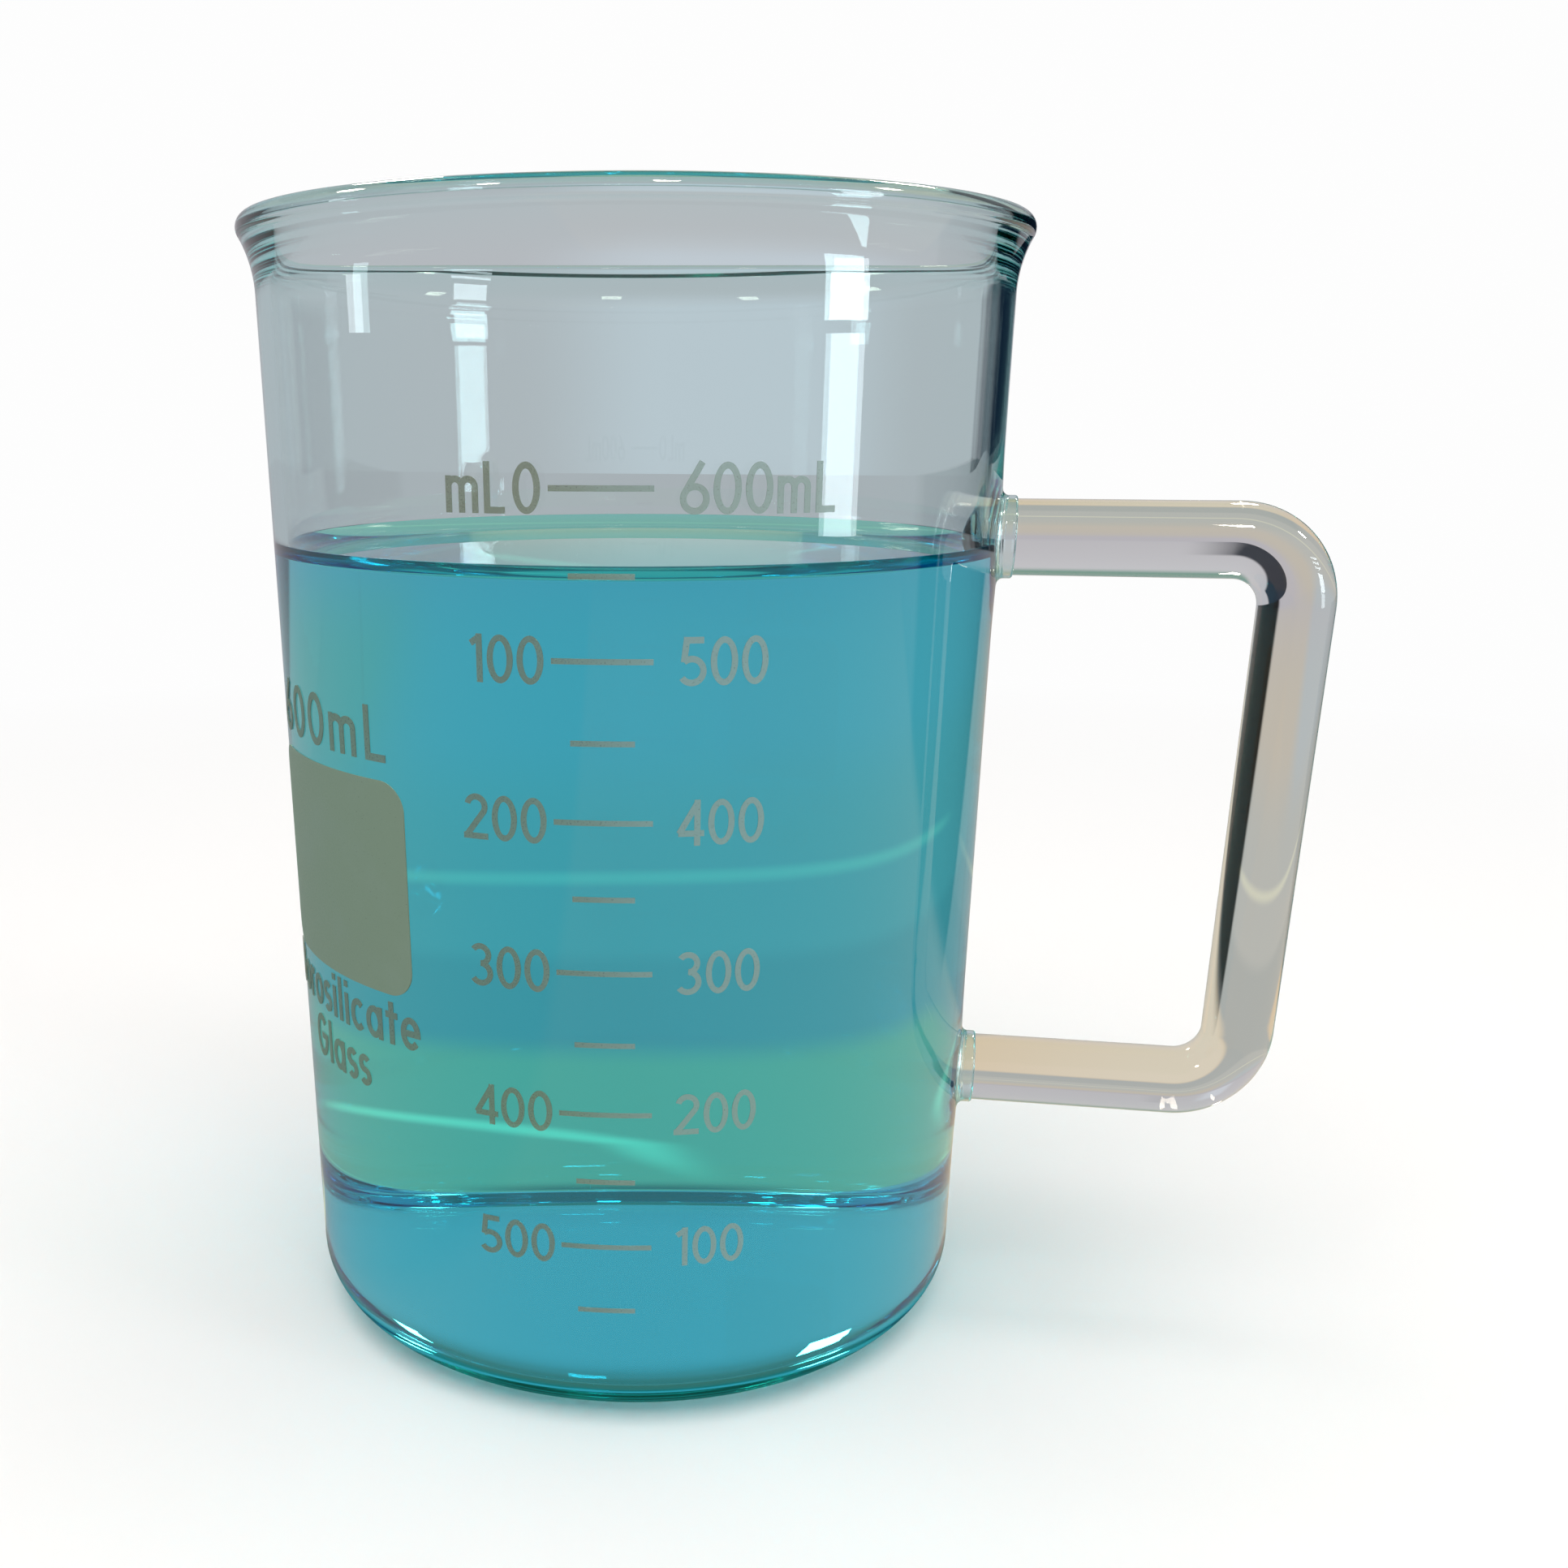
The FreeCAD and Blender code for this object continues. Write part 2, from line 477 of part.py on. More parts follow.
def glyphs(half):
    """The alphabet for a stroke whose half width is half, as a share of the height."""
    top, foot, ex = 1.0 - half, half, X_HEIGHT - half
    wide, bowl = 0.58, 0.29
    small = 0.27
    lean = math.radians(31.5)      # where the tail of a 6 or a 9 leaves its bowl
    reach = bowl - half
    low_bowl = 0.30 - half
    join = 2.0 * low_bowl + half
    high_bowl = (top - join) / 2.0
    shape = {}
    shape["0"] = (wide, [("arc", bowl, 0.5, reach, 0.5 - half, 0, 360)])
    shape["1"] = (0.36, [("line", 0.27, 0.0, 0.27, 1.0), ("line", 0.08, 0.80, 0.27, top)])
    turn = math.radians(-38.0)
    hook_y = top - high_bowl - 0.01
    knee = (bowl + (high_bowl + 0.01) * math.cos(turn), hook_y + (high_bowl + 0.01) * math.sin(turn))
    heel_x = knee[0] + (knee[1] - foot) * math.tan(turn)
    shape["2"] = (wide, [("arc", bowl, hook_y, high_bowl + 0.01, high_bowl + 0.01, -38, 165),
                         ("line", knee[0], knee[1], heel_x, foot),
                         ("line", heel_x - half, foot, 0.56, foot)])
    shape["3"] = (wide, [("arc", 0.27, join + high_bowl, high_bowl, high_bowl, -90, 145),
                         ("arc", 0.27, foot + low_bowl, low_bowl, low_bowl, -145, 90)])
    shape["4"] = (wide, [("line", 0.43, top, 0.04, 0.27), ("line", 0.02, 0.27, 0.58, 0.27),
                         ("line", 0.43, 0.0, 0.43, 1.0)])
    belly = low_bowl + 0.01
    start = math.radians(132.0)
    shoulder = (0.27 + belly * math.cos(start), foot + belly + belly * math.sin(start))
    shape["5"] = (wide, [("line", 0.14, top, 0.52, top),
                         ("line", 0.17, 1.0, shoulder[0], shoulder[1]),
                         ("arc", 0.27, foot + belly, belly, belly, -145, 132)])
    shape["6"] = (wide, [("arc", bowl, foot + low_bowl, low_bowl, low_bowl, 0, 360),
                         ("line", bowl - low_bowl * math.cos(lean),
                          foot + low_bowl * (1 + math.sin(lean)), 0.44, 1.0)])
    shape["7"] = (wide, [("line", 0.03, top, 0.55, top), ("line", 0.53, top, 0.19, 0.0)])
    shape["8"] = (wide, [("arc", bowl, foot + low_bowl, low_bowl, low_bowl, 0, 360),
                         ("arc", bowl, join + high_bowl, high_bowl, high_bowl, 0, 360)])
    shape["9"] = (wide, [("arc", bowl, top - low_bowl, low_bowl, low_bowl, 0, 360),
                         ("line", bowl + low_bowl * math.cos(lean),
                          top - low_bowl * (1 + math.sin(lean)), 0.14, 0.0)])
    arch = 0.15
    spring = ex - arch + 0.01
    shape["m"] = (0.78, [("line", 0.08 + arch * 2 * index, 0.0, 0.08 + arch * 2 * index, spring)
                         for index in range(1, 3)]
                  + [("line", 0.08, 0.0, 0.08, X_HEIGHT)]
                  + [("arc", 0.08 + arch * (2 * index + 1), ex - arch, arch, arch, 0, 180)
                     for index in range(2)])
    shape["L"] = (0.46, [("line", 0.08, 0.0, 0.08, 1.0), ("line", 0.08, foot, 0.46, foot)])
    ring = (small, X_HEIGHT / 2.0, small - half, X_HEIGHT / 2.0 - half)
    shape["o"] = (0.54, [("arc",) + ring + (0, 360)])
    shape["c"] = (0.50, [("arc",) + ring + (48, 312)])
    shape["e"] = (0.54, [("arc",) + ring + (0, 318),
                         ("line", half, X_HEIGHT / 2.0, 2 * small, X_HEIGHT / 2.0)])
    shape["a"] = (0.58, [("arc",) + ring + (0, 360),
                         ("line", 2 * small - half, 0.0, 2 * small - half, X_HEIGHT)])
    shape["r"] = (0.34, [("line", 0.09, 0.0, 0.09, X_HEIGHT),
                         ("arc", 0.27, ex - 0.18, 0.18, 0.18, 68, 180)])
    curl = (X_HEIGHT - 2 * half) / 4.0
    shape["s"] = (0.42, [("arc", 0.21, ex - curl, curl, curl, 38, 270),
                         ("arc", 0.21, foot + curl, curl, curl, -142, 90)])
    shape["i"] = (0.20, [("line", 0.10, 0.0, 0.10, X_HEIGHT), ("line", 0.10, 0.86, 0.10, 1.0)])
    shape["l"] = (0.20, [("line", 0.10, 0.0, 0.10, 1.0)])
    shape["t"] = (0.36, [("line", 0.17, 0.0, 0.17, 0.94), ("line", 0.0, ex, 0.35, ex)])
    high = (top - 0.5) / 2.0
    shape["B"] = (0.56, [("line", 0.09, 0.0, 0.09, 1.0),
                         ("line", 0.09, top, 0.28, top), ("line", 0.09, 0.5, 0.28, 0.5),
                         ("line", 0.09, foot, 0.28, foot),
                         ("arc", 0.28, top - high, high, high, -90, 90),
                         ("arc", 0.28, 0.5 - high, high, high, -90, 90)])
    shape["G"] = (0.72, [("arc", 0.36, 0.5, 0.36 - half, 0.5 - half, 45, 360),
                         ("line", 0.36, 0.5, 0.72, 0.5)])
    return shape


def stroke_face(stroke, scale, width):
    """The flat outline of one stroke, in millimetres."""
    kind, numbers = stroke[0], stroke[1:]
    if kind == "line":
        start, finish = V(numbers[0], numbers[1], 0) * scale, V(numbers[2], numbers[3], 0) * scale
        along = (finish - start).normalize()
        side = V(-along.y, along.x, 0) * (width / 2.0)
        return Part.Face(Part.makePolygon([start - side, finish - side, finish + side,
                                           start + side, start - side]))
    centre = V(numbers[0], numbers[1], 0) * scale
    outer, inner = [
        curved_edge(centre, [radius * scale + side for radius in numbers[2:4]], *numbers[4:6])
        for side in (width / 2.0, -width / 2.0)]
    if numbers[5] - numbers[4] >= 360:
        return Part.Face(Part.Wire(outer)).cut(Part.Face(Part.Wire(inner))).Faces[0]
    ends = [Part.makeLine(outer.valueAt(parameter), inner.valueAt(parameter))
            for parameter in (outer.FirstParameter, outer.LastParameter)]
    return Part.Face(Part.Wire(Part.__sortEdges__([outer, ends[0], inner, ends[1]])))


def curved_edge(centre, radii, first_deg, last_deg):
    """Part of a circle or of an upright or lying ellipse."""
    across, up = radii
    if abs(up - across) < 1e-6:
        return Part.makeCircle(across, centre, Z_AXIS, first_deg, last_deg)
    if across > up:
        curve = Part.Ellipse(centre + V(across, 0, 0), centre + V(0, up, 0), centre)
        return curve.toShape(math.radians(first_deg), math.radians(last_deg))
    # An upright ellipse's own parameter starts at its top, a quarter turn on.
    curve = Part.Ellipse(centre + V(0, up, 0), centre + V(-across, 0, 0), centre)
    return curve.toShape(math.radians(first_deg - 90.0), math.radians(last_deg - 90.0))


def widened(stroke, stretch):
    """The same stroke spread out along the line of text: its x places or its x radius."""
    kind, first_x, first_y, second_x, second_y = stroke[:5]
    return (kind, first_x * stretch, first_y, second_x * stretch, second_y) + stroke[5:]


def glyph_solid(strokes, scale, width, middle, shell):
    """One character pressed through the sleeve at -Y, its middle at x = 0."""
    depth = SIZE["outer_dia"] / 8.0
    prisms = [stroke_face(stroke, scale, width).extrude(V(0, 0, depth)) for stroke in strokes]
    solid = prisms[0].fuse(prisms[1:]) if len(prisms) > 1 else prisms[0]
    solid.translate(V(-middle, 0, outer_r + 2.0 * SIZE["print_thick"] - depth))
    solid.rotate(V(0, 0, 0), X_AXIS, 90)
    return solid.common(shell).removeSplitter()


def text_width(text, height, stroke, stretch=1.0, gap=LETTER_GAP):
    alphabet = glyphs(stroke / height / 2.0)
    letters = stretch * sum(alphabet[letter][0] for letter in text)
    return height * (letters + gap * (len(text) - 1))


def text_solids(text, height, stroke, left, base, shell, stretch=1.0, gap=LETTER_GAP):
    """A line of text: left is its start round the wall from the middle, base its height."""
    alphabet = glyphs(stroke / height / 2.0)
    solids = []
    for letter in text:
        width, strokes = alphabet[letter]
        middle = width * stretch * height / 2.0
        strokes = [widened(one, stretch) for one in strokes]
        solid = glyph_solid(strokes, height, stroke, middle, shell)
        solid.translate(V(0, 0, base))
        solid.rotate(V(0, 0, 0), Z_AXIS, math.degrees((left + middle) / outer_r))
        solids.extend(solid.Solids)
        left += (width * stretch + gap) * height
    return solids


def text_node(label, solids, turn_alias):
    node = doc.addObject("Part::Feature", label)
    node.Label = label
    node.Shape = Part.makeCompound(solids)
    node.Placement = FreeCAD.Placement(V(0, 0, 0), FreeCAD.Rotation(Z_AXIS, SIZE[turn_alias]))
    bind(node, "Placement.Rotation.Angle", turn_alias)
    return node


# ---------------------------------------------------------------- scale

# The bore sets how far apart the marks are, and the rim's curve how many fit.
MM_PER_ML = "%g / ( pi * ( outer_dia / 2 - wall_thick ) ^ 2 )" % ML
mm_per_ml = ML / (math.pi * inner_r**2)
top_mark = int((flare_z - SIZE["freeboard"] - SIZE["scale_zero"]) / (mm_per_ml * STEP_ML)) * STEP_ML
major_marks = list(range(STEP_ML, top_mark + 1, STEP_ML))
minor_marks = list(range(STEP_ML // 2, top_mark, STEP_ML))
rising_left = SIZE["major_line"] / 2.0 + SIZE["rising_gap"]
falling_right = -SIZE["major_line"] / 2.0 - SIZE["falling_gap"]


def digit_base(volume):
    """Height of the foot of the numerals beside a mark."""
    return SIZE["scale_zero"] + volume * mm_per_ml - SIZE["digit_height"] / 2.0


def scale_text(text, left, volume, shell):
    return text_solids(text, SIZE["digit_height"], SIZE["digit_stroke"], left, digit_base(volume), shell)


def scale_width(text):
    return text_width(text, SIZE["digit_height"], SIZE["digit_stroke"])


def make_rising_numerals(shell):
    """What the beaker holds up to each line, to the right of the lines."""
    solids = []
    for volume in major_marks:
        solids.extend(scale_text(str(volume), rising_left, volume, shell))
    return text_node("rising_scale_numerals", solids, "scale_turn")


def make_falling_numerals(shell):
    """What is missing down to each line, to the left of the lines and right-aligned."""
    solids = []
    for volume in major_marks:
        text = str(top_mark - volume)
        left = falling_right - scale_width(text)
        solids.extend(scale_text(text, left, volume, shell))
    return text_node("falling_scale_numerals", solids, "scale_turn")


def make_unit_marks(shell):
    """The unit beside the topmost numeral of both columns."""
    space = LETTER_GAP * SIZE["digit_height"]
    right = rising_left + scale_width(str(top_mark)) + space
    left = falling_right - scale_width("0") - 2.0 * space - scale_width("mL")
    solids = scale_text("mL", right, top_mark, shell) + scale_text("mL", left, top_mark, shell)
    return text_node("scale_unit_marks", solids, "scale_turn")


# ---------------------------------------------------------------- label

def centred_text(text, height, stroke, base, shell, stretch=1.0, gap=LETTER_GAP):
    left = -text_width(text, height, stroke, stretch, gap) / 2.0
    return text_solids(text, height, stroke, left, base, shell, stretch, gap)


def make_capacity_mark(shell):
    base = SIZE["spot_bottom"] + SIZE["spot_height"] + SIZE["capacity_gap"]
    text = "%dmL" % top_mark
    solids = centred_text(text, SIZE["capacity_height"], SIZE["capacity_stroke"], base, shell,
                          WIDE_LETTERS, WIDE_GAP)
    return text_node("capacity_mark", solids, "label_turn")


def make_material_mark(shell):
    height, stroke = SIZE["material_height"], SIZE["material_stroke"]
    base = SIZE["spot_bottom"] - SIZE["material_gap"] - height
    solids = centred_text("Borosilicate", height, stroke, base, shell)
    solids += centred_text("Glass", height, stroke, base - SIZE["material_leading"], shell)
    return text_node("material_mark", solids, "label_turn")


# ---------------------------------------------------------------- assembly

nodes = [
    make_beaker_body(),
    make_blue_liquid(),
    make_handle_rod(),
    make_weld_collar("upper_weld_collar", HIGH_ARM),
    make_weld_collar("lower_weld_collar", LOW_ARM),
]
sleeve = make_print_shell()
doc.recompute()
nodes += [
    make_lines("major_graduation_lines", "major_line", major_marks, sleeve),
    make_lines("minor_graduation_lines", "minor_line", minor_marks, sleeve),
    make_marking_spot(sleeve),
    make_rising_numerals(sleeve.Shape),
    make_falling_numerals(sleeve.Shape),
    make_unit_marks(sleeve.Shape),
    make_capacity_mark(sleeve.Shape),
    make_material_mark(sleeve.Shape),
]
doc.recompute()

for thing in doc.Objects:
    if "Invalid" in thing.State or "Error" in thing.State:
        raise RuntimeError("%s did not compute: %s" % (thing.Name, thing.State))
for node in nodes:
    if node.Shape.isNull() or not node.Shape.isValid() or node.Shape.Volume <= 0:
        raise RuntimeError(node.Label + " has no sound shape")

os.makedirs("parts", exist_ok=True)
for node in nodes:
    node.Shape.exportStep(os.path.join("parts", node.Label + ".step"))
    box = node.Shape.BoundBox
    print("%-24s solids %2d  volume %10.2f  x %7.2f..%6.2f  y %7.2f..%6.2f  z %6.2f..%6.2f" % (
        node.Label, len(node.Shape.Solids), node.Shape.Volume,
        box.XMin, box.XMax, box.YMin, box.YMax, box.ZMin, box.ZMax))
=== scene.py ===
import logging
import math
from dataclasses import dataclass, field
from enum import Enum
from typing import Optional, Sequence

import bpy
import numpy as np
from mathutils import Euler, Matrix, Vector


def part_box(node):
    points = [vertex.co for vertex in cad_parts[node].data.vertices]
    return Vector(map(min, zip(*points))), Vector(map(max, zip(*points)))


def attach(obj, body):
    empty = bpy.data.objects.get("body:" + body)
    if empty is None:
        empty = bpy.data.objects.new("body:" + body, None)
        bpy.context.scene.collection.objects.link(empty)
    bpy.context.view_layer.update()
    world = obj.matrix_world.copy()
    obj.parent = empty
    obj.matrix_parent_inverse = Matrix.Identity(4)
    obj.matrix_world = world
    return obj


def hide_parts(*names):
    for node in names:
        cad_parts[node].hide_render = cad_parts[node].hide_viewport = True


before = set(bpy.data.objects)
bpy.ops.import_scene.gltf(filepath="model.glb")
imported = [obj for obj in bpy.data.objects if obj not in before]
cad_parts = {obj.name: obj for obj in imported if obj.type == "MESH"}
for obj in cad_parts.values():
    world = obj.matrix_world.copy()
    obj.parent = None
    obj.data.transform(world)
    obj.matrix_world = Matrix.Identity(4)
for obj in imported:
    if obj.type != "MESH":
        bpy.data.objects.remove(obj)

logging.basicConfig(level=logging.INFO, format="%(name)s: %(message)s")
LOG = logging.getLogger("beaker")

Pair = tuple[float, float]
Triple = tuple[float, float, float]
Colour = Triple
Socket = bpy.types.NodeSocket
Material = bpy.types.Material

MM = 0.001
BACKDROP: Colour = (0.985, 0.985, 0.985)

# Optical constants: index of refraction against air, and of glass against water.
GLASS_IOR = 1.473
WATER_IOR = 1.333
WETTED_IOR = GLASS_IOR / WATER_IOR

# Clearances, so that no two surfaces lie in the same place.
WALL_RELIEF = 0.015 * MM
LIQUID_GAP = 0.02 * MM
WELD_GAP = 0.02 * MM

# Fineness: points nearer than this are one point, how close the floor's rings come to the
# axis, and how many places a graded run is worked out from.
SAME_POINT = 1e-7
WATERLINE_MARGIN = 1e-6
POLE_RADIUS = 2.0 * MM
PROBES = 4001


class Slot(Enum):
    """The record's material slots."""

    CLEAR_GLASS = "clear_glass"
    HANDLE_GLASS = "handle_glass"
    BLUE_LIQUID = "blue_liquid"
    GREY_ENAMEL = "grey_enamel"


class Side(Enum):
    """The two faces of the cup's glass wall."""

    OUTSIDE = 1
    INSIDE = -1


# ---------------------------------------------------------------- sizes


@dataclass(frozen=True)
class BeakerSizes:
    """The beaker's own sizes in metres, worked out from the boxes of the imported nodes."""

    wall_r: float
    bore_r: float
    rim_r: float
    height: float
    floor: float
    surface: float
    rod_r: float
    high_arm: float
    low_arm: float
    upright: float
    heel: float = 7.5 * MM
    inner_heel: float = 6.5 * MM
    overhang: float = 1.7 * MM
    mouth_step: float = 0.4 * MM
    flare: float = 13.0 * MM
    mouth: float = 30.0 * MM
    meniscus_rise: float = 1.8 * MM
    meniscus_reach: float = 3.6 * MM
    bend: float = 7.8 * MM

    @property
    def waterline(self) -> float:
        """Height at which the meniscus meets the wall."""
        return self.surface + self.meniscus_rise

    @classmethod
    def from_frame(cls) -> "BeakerSizes":
        """Read the sizes off the boxes of the cup, the liquid and the rod.

        Returns:
            The sizes.
        """
        cup_low, cup_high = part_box("beaker_body")
        liquid_low, liquid_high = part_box("blue_liquid")
        rod_low, rod_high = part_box("handle_rod")
        rod_r = rod_high.y
        return cls(
            wall_r=cup_high.y - cls.overhang,
            bore_r=liquid_high.y,
            rim_r=cup_high.y,
            height=cup_high.z,
            floor=liquid_low.z,
            surface=liquid_high.z - cls.meniscus_rise,
            rod_r=rod_r,
            high_arm=rod_high.z - rod_r,
            low_arm=rod_low.z + rod_r,
            upright=rod_high.x - rod_r,
        )


# ---------------------------------------------------------------- mesh helpers


def put_in_scene(name: str, data: bpy.types.ID) -> bpy.types.Object:
    """Make an object of some data and link it into the scene.

    Args:
        name: the object's name.
        data: its mesh, light or camera.

    Returns:
        The object.
    """
    thing = bpy.data.objects.new(name, data)
    bpy.context.scene.collection.objects.link(thing)
    return thing


@dataclass(frozen=True)
class MeshMaker:
    """Puts computed arrays of points and faces into Blender as one finished piece."""

    name: str
    slot: Slot
    replaces: tuple[str, ...] = ()
    body: str = "root"

    def build(self, points: np.ndarray, quads: np.ndarray, triangles: np.ndarray,
              materials: Sequence[Material],
              face_slots: Optional[np.ndarray] = None) -> bpy.types.Object:
        """Make the object, shade it smooth, and tie it to its body and nodes.

        Args:
            points: N x 3 array of places in metres.
            quads: M x 4 array of point numbers, outward.
            triangles: K x 3 array of point numbers, outward.
            materials: the materials that the faces choose from.
            face_slots: material number of each face, quads first, or None for all 0.

        Returns:
            The new object.
        """
        mesh = bpy.data.meshes.new(self.name)
        faces = quads.tolist() + triangles.tolist()
        mesh.from_pydata(points.tolist(), [], faces)
        for material in materials:
            mesh.materials.append(material)
        numbers = np.zeros(len(faces), np.int32) if face_slots is None else face_slots
        mesh.polygons.foreach_set("material_index", numbers)
        mesh.polygons.foreach_set("use_smooth", np.ones(len(faces), bool))
        mesh.update()
        piece = put_in_scene(self.name, mesh)
        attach(piece, self.body)
        if self.replaces:
            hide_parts(*self.replaces)
        LOG.info("%s: %d points, %d faces", self.name, len(points), len(faces))
        return piece

    def build_closed(self, grid: np.ndarray, poles: Sequence[Sequence[float]],
                     materials: Sequence[Material],
                     face_slots: Optional[np.ndarray] = None) -> bpy.types.Object:
        """Make a closed piece from rings of points, with a pole inside each end ring.

        Args:
            grid: rings x columns x 3 array of places in metres.
            poles: the places of the first ring's pole and the last ring's.
            materials: the materials that the faces choose from.
            face_slots: material number of each face, or None for all 0: the rings' faces,
                then the first pole's fan and the last pole's.

        Returns:
            The new object.
        """
        rows, columns = grid.shape[:2]
        shell = grid.reshape(-1, 3)
        fans = [pole_fan(len(shell), 0, columns, True),
                pole_fan(len(shell) + 1, (rows - 1) * columns, columns, False)]
        return self.build(np.concatenate([shell, poles]), grid_quads(rows, columns),
                          np.concatenate(fans), materials, face_slots)


def grid_quads(rows: int, columns: int) -> np.ndarray:
    """Number the quads of a grid of points stored row by row; its last column joins its first.

    Args:
        rows: how many rows of points.
        columns: how many points in a row.

    Returns:
        M x 4 array of point numbers; each quad turns from its row to the next column.
    """
    row = np.arange(rows - 1)[:, None]
    column = np.arange(columns)[None, :]
    across = (column + 1) % columns
    corners = [row * columns + column, row * columns + across,
               (row + 1) * columns + across, (row + 1) * columns + column]
    return np.stack(corners, axis=-1).reshape(-1, 4)


def pole_fan(pole: int, ring_start: int, columns: int, flip: bool) -> np.ndarray:
    """Close a ring of points with triangles to one pole.

    Args:
        pole: number of the pole's point.
        ring_start: number of the ring's first point.
        columns: how many points are in the ring.
        flip: whether the fan faces the other way.

    Returns:
        Triangles as an array of point numbers.
    """
    first = ring_start + np.arange(columns)
    second = ring_start + (np.arange(columns) + 1) % columns
    middle = np.full(columns, pole)
    order = [middle, second, first] if flip else [middle, first, second]
    return np.stack(order, axis=-1)


def arc_points(centre: Pair, radius: float, first_deg: float, last_deg: float,
               count: int) -> np.ndarray:
    """Points on an arc in the profile plane: centre plus radius times (cos, sin).

    Args:
        centre: the arc's centre as (radius, height).
        radius: the arc's radius.
        first_deg: angle of the first point.
        last_deg: angle of the last point.
        count: how many points.

    Returns:
        count x 2 array.
    """
    angle = np.radians(np.linspace(first_deg, last_deg, count))
    return np.stack([centre[0] + radius * np.cos(angle), centre[1] + radius * np.sin(angle)], -1)


def graded(low: float, high: float, centres: Sequence[float], reach: float, fine: float,
           coarse: float) -> np.ndarray:
    """Steps from low to high that are fine near some places and coarse elsewhere.

    The step at a place is fine plus (coarse - fine) times how far, out to reach, the
    nearest centre lies; the places are where the running sum of 1 / step is whole.

    Args:
        low: first place.
        high: last place.
        centres: where the steps are fine.
        reach: how far a centre's influence goes.
        fine: the step at a centre.
        coarse: the step beyond reach.

    Returns:
        The places, with both ends.
    """
    probe = np.linspace(low, high, PROBES)
    away = np.min([np.abs(probe - centre) for centre in centres], axis=0)
    blend = np.clip((away - reach) / reach, 0.0, 1.0)
    step = fine + (coarse - fine) * blend * blend * (3.0 - 2.0 * blend)
    count = np.concatenate([[0.0], np.cumsum(np.diff(probe) / step[:-1])])
    whole = max(2, int(math.ceil(count[-1])))
    return np.interp(np.linspace(0.0, count[-1], whole + 1), count, probe)


def tidy_profile(parts: Sequence[np.ndarray]) -> np.ndarray:
    """Join runs of profile points and drop those that repeat the one before.

    Args:
        parts: the runs in order.

    Returns:
        The points as one array.
    """
    points = np.concatenate(parts)
    gap = np.linalg.norm(np.diff(points, axis=0), axis=1)
    return points[np.concatenate([[True], gap > SAME_POINT])]


# ---------------------------------------------------------------- finishes


